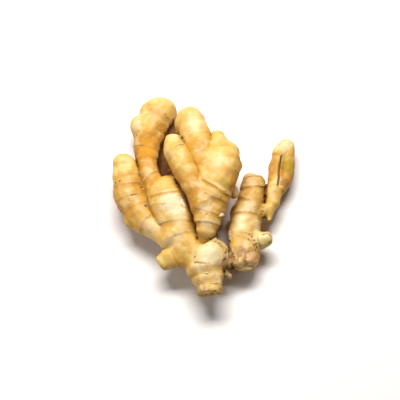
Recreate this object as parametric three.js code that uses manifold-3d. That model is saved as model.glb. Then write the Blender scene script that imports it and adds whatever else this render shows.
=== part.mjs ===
import * as THREE from "three";
import { mergeVertices } from "three/addons/utils/BufferGeometryUtils.js";
import Module from "manifold-3d";

// A hand of fresh ginger, lying on its flatter side: one rhizome whose swollen fingers meet in a base knot.
// Millimetres, +Z up. The tall finger's round head points to +Y and the broken stub to -Y.

// The driving dimensions are the fingers' middle lines and radii, from which the whole hand follows.
// Every finger is a row of stations [x, y, z, radius] along its middle, from its root to its tip.
// rings are its leaf rings, as [place counted in stations, depth of the groove, tilt], tip is its far end's
// shape, cap is that end's length over its radius, and height is how tall the section is over its width.
const fingers = {
  middleBody: {
    path: [
      [-1, -42.5, 19.5, 9],
      [-9.5, -33.4, 20, 10.4],
      [-14.5, -23.4, 20.5, 11.8],
      [-17.2, -13.2, 20.6, 14.2],
      [-20.1, -2.7, 20.9, 16.1],
      [-22.2, 4.9, 21, 14.6],
    ],
    rings: [[0.65, 0.6, 0], [1.55, 0.7, 0], [2.4, 0.8, 0], [3.45, 0.8, -0.25], [4.65, 0.7, -0.15]],
    tip: "round",
    cap: 0.72,
    height: 0.9,
  },
  tallFinger: {
    path: [
      [-21, -10, 20, 10.5],
      [-26.5, -2, 20.5, 10.3],
      [-31.9, 7.3, 20.5, 9],
      [-35.6, 18.2, 19.3, 7.8],
      [-36.6, 26, 18, 7.6],
      [-37.3, 32, 17, 8.4],
      [-37.6, 41, 15.5, 9.6],
      [-35.5, 50, 14, 10.2],
      [-32.4, 60, 13, 11.7],
      [-29.8, 69, 13, 13.2],
    ],
    rings: [[2.65, 0.7, 0.45], [4.15, 0.7, 0.4], [5.65, 0.9, -0.24], [8.1, 0.2, 0]],
    tip: "round",
    cap: 0.9,
    height: 0.95,
  },
  tallFingerKnob: {
    path: [[-36, 55, 14, 9], [-40.8, 57, 15, 8], [-44, 58, 15.5, 6.8]],
    rings: [[1.2, 0.4, 0]],
    tip: "round",
    cap: 0.9,
    height: 1,
  },
  outerFinger: {
    path: [
      [-21, -29, 18, 7.5],
      [-32, -20.5, 18, 8.3],
      [-38.9, -13.5, 17.5, 9.6],
      [-44.2, -5, 17, 10.8],
      [-48.2, 3, 17, 11.5],
      [-50.1, 11, 17.5, 10.6],
      [-52.1, 18.5, 18.5, 10.1],
      [-53.3, 25.5, 19.5, 8.6],
    ],
    rings: [[1.5, 0.4, 0], [2.85, 0.7, 0.1], [3.75, 0.7, 0], [4.85, 0.8, 0], [5.75, 0.4, 0]],
    tip: "round",
    cap: 0.95,
    height: 0.92,
  },
  outerFingerBump: {
    path: [[-42, -8, 16, 7], [-46.5, -12.5, 15.5, 5.2], [-49.6, -15.8, 15, 4]],
    rings: [],
    tip: "round",
    cap: 0.8,
    height: 1,
  },
  baseKnot: {
    path: [
      [0.3, -37.8, 19, 6.9],
      [4.1, -41.8, 20.5, 11.9],
      [3.6, -48.7, 19.3, 12.3],
      [5.1, -55.7, 18.8, 10.6],
      [6.5, -61.9, 18.5, 9.5],
      [6.7, -67, 18.3, 9.3],
    ],
    rings: [[1.9, 0.3, 0], [2.95, 0.6, 0], [4.3, 0.3, 0]],
    tip: "broken",
    cap: 0.3,
    height: 0.95,
  },
  tornFace: {
    path: [[6, -41, 19, 10.5], [12.5, -41.5, 18, 9.6], [16.5, -42, 17, 8.4]],
    rings: [[0.9, 0.3, 0]],
    tip: "broken",
    cap: 0.3,
    height: 1,
  },
  lowerLeftKnob: {
    path: [
      [-3.2, -38.4, 17, 11],
      [-13.4, -39.6, 17, 8.8],
      [-20.5, -42.4, 17, 7.2],
      [-26, -45.6, 16.5, 6.1],
    ],
    rings: [[1.7, 0.5, 0]],
    tip: "blunt",
    cap: 0.55,
    height: 0.95,
  },
  risingTrunk: {
    path: [
      [-0.3, -35.8, 24.5, 2],
      [0.9, -33.6, 26.5, 3],
      [2.5, -30.7, 28.5, 4.5],
      [3.8, -26.3, 30.5, 6.5],
      [5, -21.1, 32, 8.6],
      [6.1, -14.9, 33, 10.1],
      [7.8, -8, 34, 11.2],
      [9.2, -0.7, 34.6, 12.7],
      [11.5, 8.2, 35, 14.2],
      [13, 16.7, 35.2, 14.6],
      [13.6, 22.5, 35, 13.4],
    ],
    rings: [[2.2, 0.5, 0.15], [3.7, 0.7, 0], [4.95, 0.9, 0], [6.5, 0.8, -0.25], [7.35, 1.1, -0.35]],
    tip: "round",
    cap: 0.8,
    height: 0.85,
  },
  shoulderKnob: {
    path: [
      [13, 24.5, 34.5, 12],
      [13.6, 31.5, 35, 8.7],
      [13.2, 37.6, 35, 6.7],
      [12.5, 42.2, 34.5, 4.9],
    ],
    rings: [],
    tip: "round",
    cap: 0.6,
    height: 0.95,
  },
  shoulderLobe: {
    path: [[13, 17.6, 34.5, 12.5], [17, 26.5, 34, 10.6], [20.2, 32, 33.5, 8.4]],
    rings: [],
    tip: "round",
    cap: 0.7,
    height: 0.9,
  },
  shoulderBump: {
    path: [[20, 20.6, 33, 6], [26.6, 20.2, 32.5, 3]],
    rings: [],
    tip: "round",
    cap: 1,
    height: 1,
  },
  topFinger: {
    path: [
      [9, 13.4, 34, 10],
      [5, 20.5, 34.5, 10.4],
      [1, 29.5, 34.5, 10.2],
      [-2.2, 38, 33.5, 10.2],
      [-5.6, 47, 32.5, 10.5],
      [-8, 54, 31.5, 10.6],
    ],
    rings: [[1.7, 0.4, 0], [3.1, 0.35, 0], [4.5, 0.15, 0]],
    tip: "round",
    cap: 0.95,
    height: 0.95,
  },
  innerFinger: {
    path: [
      [3, -6.8, 34, 9.4],
      [-3.4, 2.9, 35.5, 8.8],
      [-8.9, 12.1, 36.5, 8.6],
      [-13.1, 20.2, 36.8, 8.6],
      [-16.6, 27.8, 36.5, 8.8],
      [-18.2, 34.4, 36, 7.4],
      [-18.1, 38.8, 35.7, 5.8],
    ],
    rings: [[1.2, 0.5, 0], [2.4, 0.4, 0], [3.6, 0.4, 0]],
    tip: "blunt",
    cap: 0.5,
    height: 0.95,
  },
  trunkBud: {
    path: [[14, 5.5, 30.5, 5.5], [21.9, 3.6, 28.3, 4.8], [24.2, 1.2, 27, 4.1]],
    rings: [],
    tip: "round",
    cap: 0.8,
    height: 1,
  },
  rightTrunk: {
    path: [
      [30.5, -44, 12.5, 10],
      [29.5, -35, 12.5, 10.6],
      [30.4, -26.5, 13, 10.6],
      [32.4, -18, 13.5, 10.2],
      [33.6, -9.3, 13.5, 9.8],
      [35, -0.6, 13.5, 9.2],
      [37, 7.5, 13.5, 8.9],
      [38.7, 15.2, 13.5, 8.1],
    ],
    rings: [[2.3, 0.4, 0], [3.8, 0.8, 0], [4.9, 0.8, -0.2], [6.35, 0.9, 0.25]],
    tip: "blunt",
    cap: 0.75,
    height: 0.95,
  },
  rightTrunkBulge: {
    path: [[33, -15, 11, 8], [29, -10, 10.5, 7], [26.5, -6, 10, 5.8]],
    rings: [],
    tip: "round",
    cap: 0.9,
    height: 1,
  },
  tornBridge: {
    path: [
      [8, -43, 15, 8.5],
      [16, -42.5, 12.5, 7.2],
      [24, -41, 11.5, 7],
      [31, -37, 12, 8],
    ],
    rings: [[1.1, 0.8, 0]],
    tip: "round",
    cap: 0.6,
    height: 0.9,
  },
  rightKnob: {
    path: [[35, -30, 14, 7.2], [41, -28.5, 15, 6.6], [45.6, -28, 16, 6]],
    rings: [[1.2, 0.5, 0]],
    tip: "blunt",
    cap: 0.85,
    height: 1,
  },
  longFinger: {
    path: [
      [48.3, -12.8, 12.2, 1.8],
      [49.4, -6, 12, 3.4],
      [51.6, 1, 11.2, 6],
      [52.2, 8.3, 10.5, 6.9],
      [54, 15.7, 10, 6],
      [54.2, 22.7, 9.7, 5.4],
      [55.4, 31.2, 9.5, 5.6],
      [58.5, 39, 9.3, 7],
      [60.9, 42.7, 9.3, 7.2],
    ],
    rings: [[3.6, 0.3, 0.3], [6.4, 0.4, -0.2]],
    tip: "round",
    cap: 1,
    height: 1.05,
  },
  longFingerSide: {
    path: [
      [62.1, 41.3, 9.5, 6],
      [63.2, 33.5, 9.5, 5],
      [62.6, 24.2, 9.8, 5],
      [60.8, 18, 10.1, 4.7],
      [57.7, 11.7, 10.5, 4.2],
      [55.1, 7.1, 10.8, 3.2],
    ],
    rings: [[1, 0.4, 0.2]],
    tip: "round",
    cap: 1,
    height: 1.1,
  },
  longFingerFoot: {
    path: [[38.6, -7, 13, 5.8], [44.2, -6.2, 13, 4.8], [49.2, -4, 13, 3.8]],
    rings: [],
    tip: "round",
    cap: 0.8,
    height: 1,
  },
  stubBud: {
    path: [[12.5, -49.5, 14.5, 4.2], [16.5, -52, 13.5, 3.2], [19.5, -54, 13, 2.4]],
    rings: [],
    tip: "round",
    cap: 1.1,
    height: 1,
  },
  underLobe: {
    path: [
      [-19.7, -4, 13.5, 10],
      [-22.5, 9.5, 11, 8.8],
      [-23.8, 23, 9, 8],
      [-23.2, 36, 8, 7.6],
      [-21.5, 46, 7.6, 7.2],
      [-19.8, 53, 7.4, 6.4],
      [-18.8, 59.5, 7.2, 5.6],
    ],
    rings: [[1.3, 0.5, 0], [2.6, 0.5, 0]],
    tip: "round",
    cap: 0.9,
    height: 0.9,
  },
  underTrunk: {
    path: [
      [3.5, -35, 14, 8],
      [5.2, -26.2, 12.5, 7.3],
      [6.6, -17, 11.5, 6.7],
      [7.5, -8.7, 11, 5.6],
    ],
    rings: [[0.9, 0.5, 0], [2, 0.5, 0]],
    tip: "round",
    cap: 0.9,
    height: 0.9,
  },
  headFoot: {
    path: [[-30, 66, 9, 8], [-29.5, 66, 4, 6], [-29.5, 66, 1.5, 4.5]],
    rings: [],
    tip: "round",
    cap: 0.5,
    height: 1,
  },
  bodyFoot: {
    path: [[-15, -30, 14, 9], [-15.5, -31, 7, 7], [-16, -31.5, 1.8, 5]],
    rings: [[1.2, 0.5, 0]],
    tip: "round",
    cap: 0.5,
    height: 1,
  },
  trunkFoot: {
    path: [[33.5, -13, 10, 8], [34.5, -12, 4.5, 6.2], [34.8, -12, 1.6, 4.6]],
    rings: [],
    tip: "round",
    cap: 0.5,
    height: 1,
  },
};

// Torn fibres and papery scale tatters, as [x, y, z, turn round Z, tilt up from level, width, length]:
// each is a flat spike whose middle is at x, y, z, with its root sunk in the flesh and its point outside.
const tatters = [
  [9, -33.5, 25.5, 75, 35, 5, 8],
  [13, -34.5, 25, 50, 30, 6, 8],
  [16.5, -37, 22.5, 25, 25, 6, 8],
  [18, -41, 20.5, -5, 20, 6, 8],
  [17.5, -46.5, 18.5, -25, 0, 5, 8],
  [22.5, -34, 14, 150, 30, 6, 8],
  [22, -39, 13.5, 175, 25, 5, 8],
  [23.5, -28, 15.5, 140, 25, 5, 8],
  [25.5, -45, 11.5, -115, 0, 6, 8],
  [29.5, -46, 12, -88, 5, 6, 8],
  [33.5, -45.5, 12.5, -70, 0, 6, 8],
  [37, -42.5, 12.5, -45, 5, 5, 8],
  [33.5, 19, 15.5, 130, 20, 5, 7],
  [38.5, 20.5, 16.5, 85, 25, 6, 6],
  [43, 18.5, 15, 45, 15, 5, 7],
  [-13, 31, 41, 65, 15, 4.5, 7],
  [39, -36, 14.5, -35, 15, 5, 8],
];

// The skin's low swells, and how the rings stand and lean.
const swellHeight = 0.6;
const swellLengths = [5.1, 6.3, 4.7];
const ringLipHeight = 0.25;
const ringFootDepth = 0.1;
const ringHalfWidth = 1;
const ringLean = 0.14;
const leanPerStation = 2.4;
const ringUnevenness = 0.45;
const internodeBulge = 0.05;
const longestStep = 7;

// A section has two sides for each of these, and so many more for each millimetre of the greatest radius.
const leastSidePairs = 3.2;
const sidePairsPerMillimetre = 0.45;
const narrowRadius = 6;
const capSections = 4;

// An end's roundness is the power its narrowing follows: the lower, the blunter.
const endRoundness = { round: 1, blunt: 0.7, broken: 1 };
const rootCap = 0.5;

// A broken end's rim and dish, as [part of the radius, millimetres past the last station].
const brokenProfile = [[0.96, 1.2], [0.86, 1.4], [0.7, 0.2], [0.35, -0.6]];
const brokenDish = -0.9;
const groundDepth = 20;
const groundWidth = 400;
const tatterSides = 5;
const tatterThickness = 0.45;

const wasm = await Module();
wasm.setup();

// A finger whose ends rise more steeply than this, as a sine, takes X for its guide in place of up.
const steepRise = 0.8;
const up = new THREE.Vector3(0, 0, 1);
const alongX = new THREE.Vector3(1, 0, 0);

function middleLine(path) {
  const points = path.map(([x, y, z]) => new THREE.Vector3(x, y, z));
  return new THREE.CatmullRomCurve3(points, false, "centripetal");
}

function radiusAt(path, place) {
  const last = path.length - 1;
  const i = Math.min(Math.floor(place), last - 1);
  return THREE.MathUtils.lerp(path[i][3], path[i + 1][3], THREE.MathUtils.smoothstep(place - i, 0, 1));
}

// A section stands square to the middle line, with its height axis as near upright as it can be.
function frameAt(line, place, count) {
  const t = place / (count - 1);
  const along = line.getTangent(t);
  const ends = line.getPoint(1).sub(line.getPoint(0)).normalize();
  const guide = Math.abs(ends.z) > steepRise ? alongX : up;
  const side = along.clone().cross(guide).normalize();
  const height = side.clone().cross(along);
  return { centre: line.getPoint(t), along, side, height };
}

function swell(point) {
  const [a, b, c] = swellLengths;
  const first = Math.sin(point.x / a) * Math.sin(point.y / b + 1);
  return swellHeight * (first + Math.sin(point.z / c + point.x / b));
}

// One section of the finger: shift moves it along the middle line, change is the ring's lip or groove,
// which is deeper on one side, and lean and tilt tip the section, so that the rings don't all stand square.
function section(finger, frame, radius, sides, { shift = 0, change = 0, lean = 0, tilt = 0 } = {}) {
  const points = [];
  for (let k = 0; k < sides; k += 1) {
    const angle = (k / sides) * 2 * Math.PI;
    const outward = frame.side.clone().multiplyScalar(Math.cos(angle));
    outward.addScaledVector(frame.height, finger.height * Math.sin(angle));
    const point = frame.centre.clone().addScaledVector(outward, radius);
    const lopsided = ringLean * Math.sin(angle + lean) * Math.sin(3 * lean);
    const tipped = radius * (lopsided + tilt * Math.cos(angle));
    point.addScaledVector(frame.along, shift + tipped);
    const depth = change * (1 + ringUnevenness * Math.sin(angle - 2 * lean));
    points.push(point.addScaledVector(outward, depth + Math.min(radius / narrowRadius, 1) * swell(point)));
  }
  return points;
}

// The places along a finger that need a section: both lips and the groove of every ring, and enough
// between them to follow the curve.
function places(finger, line) {
  const last = finger.path.length - 1;
  const length = line.getLength();
  const perStation = length / last;
  const rows = [{ place: 0, change: 0, lean: 0, tilt: 0 }];
  finger.rings.forEach(([place, depth, tilt], index) => {
    const half = ringHalfWidth / perStation;
    const lean = place * leanPerStation + index;
    rows.push({ place: place - half, change: -ringFootDepth, lean, tilt });
    rows.push({ place, change: -depth, lean, tilt });
    rows.push({ place: place + half, change: ringLipHeight, lean, tilt });
  });
  rows.push({ place: last, change: 0, lean: 0, tilt: 0 });
  const filled = [];
  rows.forEach((row, index) => {
    const before = rows[index - 1];
    if (before) {
      const gap = (row.place - before.place) * perStation;
      const steps = Math.round(gap / longestStep);
      for (let k = 1; k < steps; k += 1) {
        const t = k / steps;
        const place = THREE.MathUtils.lerp(before.place, row.place, t);
        const lean = THREE.MathUtils.lerp(before.lean, row.lean, t);
        const tilt = THREE.MathUtils.lerp(before.tilt, row.tilt, t);
        const bulge = internodeBulge * Math.sin(Math.PI * t) * radiusAt(finger.path, place);
        filled.push({ place, change: bulge, lean, tilt });
      }
    }
    filled.push(row);
  });
  return filled;
}

// A rounded end runs on from the last section on a quarter of an oval.
function roundEnd(finger, frame, radius, sides, direction) {
  const sections = [];
  for (let k = 1; k < capSections; k += 1) {
    const turn = (k / capSections) * (Math.PI / 2);
    const narrowed = radius * Math.cos(turn) ** endRoundness[finger.tip];
    const shift = direction * finger.cap * radius * Math.sin(turn);
    sections.push(section(finger, frame, narrowed, sides, { shift }));
  }
  sections.push(tipPoint(frame, direction * finger.cap * radius));
  return sections;
}

// A broken end has a rim and a dished face behind it.
function brokenEnd(finger, frame, radius, sides) {
  const sections = brokenProfile.map(([inward, shift], index) => {
    return section(finger, frame, radius * inward, sides, { shift, lean: index });
  });
  sections.push(tipPoint(frame, brokenDish));
  return sections;
}

function tipPoint(frame, shift) {
  return [frame.centre.clone().addScaledVector(frame.along, shift)];
}

// Closes the rows of points into one skin: each row is a section, and a row of one point is an end.
function skin(rows) {
  const points = rows.flat();
  const starts = [];
  rows.reduce((start, row) => {
    starts.push(start);
    return start + row.length;
  }, 0);
  const triangles = [];
  for (let i = 0; i + 1 < rows.length; i += 1) {
    const [near, far] = [rows[i].length, rows[i + 1].length];
    const sides = Math.max(near, far);
    for (let k = 0; k < sides; k += 1) {
      const next = (k + 1) % sides;
      const a = starts[i] + (k % near);
      const b = starts[i] + (next % near);
      const c = starts[i + 1] + (next % far);
      const d = starts[i + 1] + (k % far);
      if (near > 1) triangles.push(a, c, b);
      if (far > 1) triangles.push(a, d, c);
    }
  }
  const geometry = new THREE.BufferGeometry().setFromPoints(points);
  geometry.setIndex(triangles);
  return geometry;
}

function fingerGeometry(finger) {
  const line = middleLine(finger.path);
  const count = finger.path.length;
  const widest = Math.max(...finger.path.map((station) => station[3]));
  const sides = 2 * Math.round(leastSidePairs + sidePairsPerMillimetre * widest);
  const rows = places(finger, line).map(({ place, change, lean, tilt }) => {
    const radius = radiusAt(finger.path, place);
    return section(finger, frameAt(line, place, count), radius, sides, { change, lean, tilt });
  });
  const root = frameAt(line, 0, count);
  const tip = frameAt(line, count - 1, count);
  const tipRadius = finger.path[count - 1][3];
  const rootEnd = roundEnd({ ...finger, cap: rootCap }, root, finger.path[0][3], sides, -1).reverse();
  const farEnd = finger.tip === "broken"
    ? brokenEnd(finger, tip, tipRadius, sides)
    : roundEnd(finger, tip, tipRadius, sides, 1);
  return skin([...rootEnd, ...rows, ...farEnd]);
}

function solidFrom(geometry) {
  geometry.deleteAttribute("normal");
  geometry.deleteAttribute("uv");
  const merged = mergeVertices(geometry);
  const mesh = new wasm.Mesh({
    numProp: 3,
    vertProperties: new Float32Array(merged.attributes.position.array),
    triVerts: new Uint32Array(merged.index.array),
  });
  return new wasm.Manifold(mesh);
}

function tatterSolid([x, y, z, turn, tilt, width, length]) {
  const spike = new THREE.ConeGeometry(width / 2, length, tatterSides);
  spike.scale(1, 1, tatterThickness);
  spike.rotateZ(-Math.PI / 2);
  spike.rotateY(-THREE.MathUtils.degToRad(tilt));
  spike.rotateZ(THREE.MathUtils.degToRad(turn));
  spike.translate(x, y, z);
  return solidFrom(spike);
}

// The ground takes a thin slice off the lowest three swellings, so that each has a small flat to rest on.
function groundBlock() {
  const block = new THREE.BoxGeometry(groundWidth, groundWidth, groundDepth);
  block.translate(0, 0, -groundDepth / 2);
  return solidFrom(block);
}

function rhizomeGeometry() {
  const swollen = Object.values(fingers).map((finger) => solidFrom(fingerGeometry(finger)));
  const solids = [...swollen, ...tatters.map(tatterSolid)];
  const whole = solids.reduce((joined, solid) => joined.add(solid)).subtract(groundBlock());
  const mesh = whole.getMesh();
  const geometry = new THREE.BufferGeometry();
  geometry.setAttribute("position", new THREE.BufferAttribute(mesh.vertProperties, 3));
  geometry.setIndex(new THREE.BufferAttribute(mesh.triVerts, 1));
  geometry.computeBoundingBox();
  const middle = geometry.boundingBox.getCenter(new THREE.Vector3());
  geometry.translate(-middle.x, -middle.y, 0);
  geometry.computeVertexNormals();
  return geometry;
}

const skinMaterial = new THREE.MeshStandardMaterial({ color: 0xe2b873, roughness: 0.6, metalness: 0 });

const rhizome = new THREE.Mesh(rhizomeGeometry(), skinMaterial);
rhizome.name = "ginger_root";

const group = new THREE.Group();
group.add(rhizome);

export default group;
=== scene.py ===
import math
import random

import bmesh
import bpy
import numpy as np
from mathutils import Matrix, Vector, kdtree


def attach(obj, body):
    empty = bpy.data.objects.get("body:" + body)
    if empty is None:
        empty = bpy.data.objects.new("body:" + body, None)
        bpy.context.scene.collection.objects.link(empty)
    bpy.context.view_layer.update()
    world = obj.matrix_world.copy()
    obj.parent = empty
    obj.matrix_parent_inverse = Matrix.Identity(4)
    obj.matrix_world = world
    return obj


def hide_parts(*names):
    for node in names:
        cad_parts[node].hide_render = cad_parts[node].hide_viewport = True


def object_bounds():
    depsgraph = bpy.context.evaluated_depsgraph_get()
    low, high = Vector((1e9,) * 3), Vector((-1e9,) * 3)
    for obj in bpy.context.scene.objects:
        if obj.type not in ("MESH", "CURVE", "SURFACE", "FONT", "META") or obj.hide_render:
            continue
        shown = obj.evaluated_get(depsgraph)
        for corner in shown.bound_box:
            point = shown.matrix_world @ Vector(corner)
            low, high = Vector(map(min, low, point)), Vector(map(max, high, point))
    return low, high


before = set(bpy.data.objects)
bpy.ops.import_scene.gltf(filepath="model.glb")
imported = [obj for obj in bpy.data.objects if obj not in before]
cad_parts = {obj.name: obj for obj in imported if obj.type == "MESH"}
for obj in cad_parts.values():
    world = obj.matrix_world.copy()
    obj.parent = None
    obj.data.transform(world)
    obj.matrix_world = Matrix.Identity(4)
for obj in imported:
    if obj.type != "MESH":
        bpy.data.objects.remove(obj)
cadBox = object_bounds()

millimetre = 0.001
farAway = 60.0  # millimetres, further than any skin
grainShift = 40.0  # millimetres between one finger's grain and the next's
noRing = 30.0  # millimetres, further than any ring
nearNothing = 1e-9  # keeps a length of nothing from dividing

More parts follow.
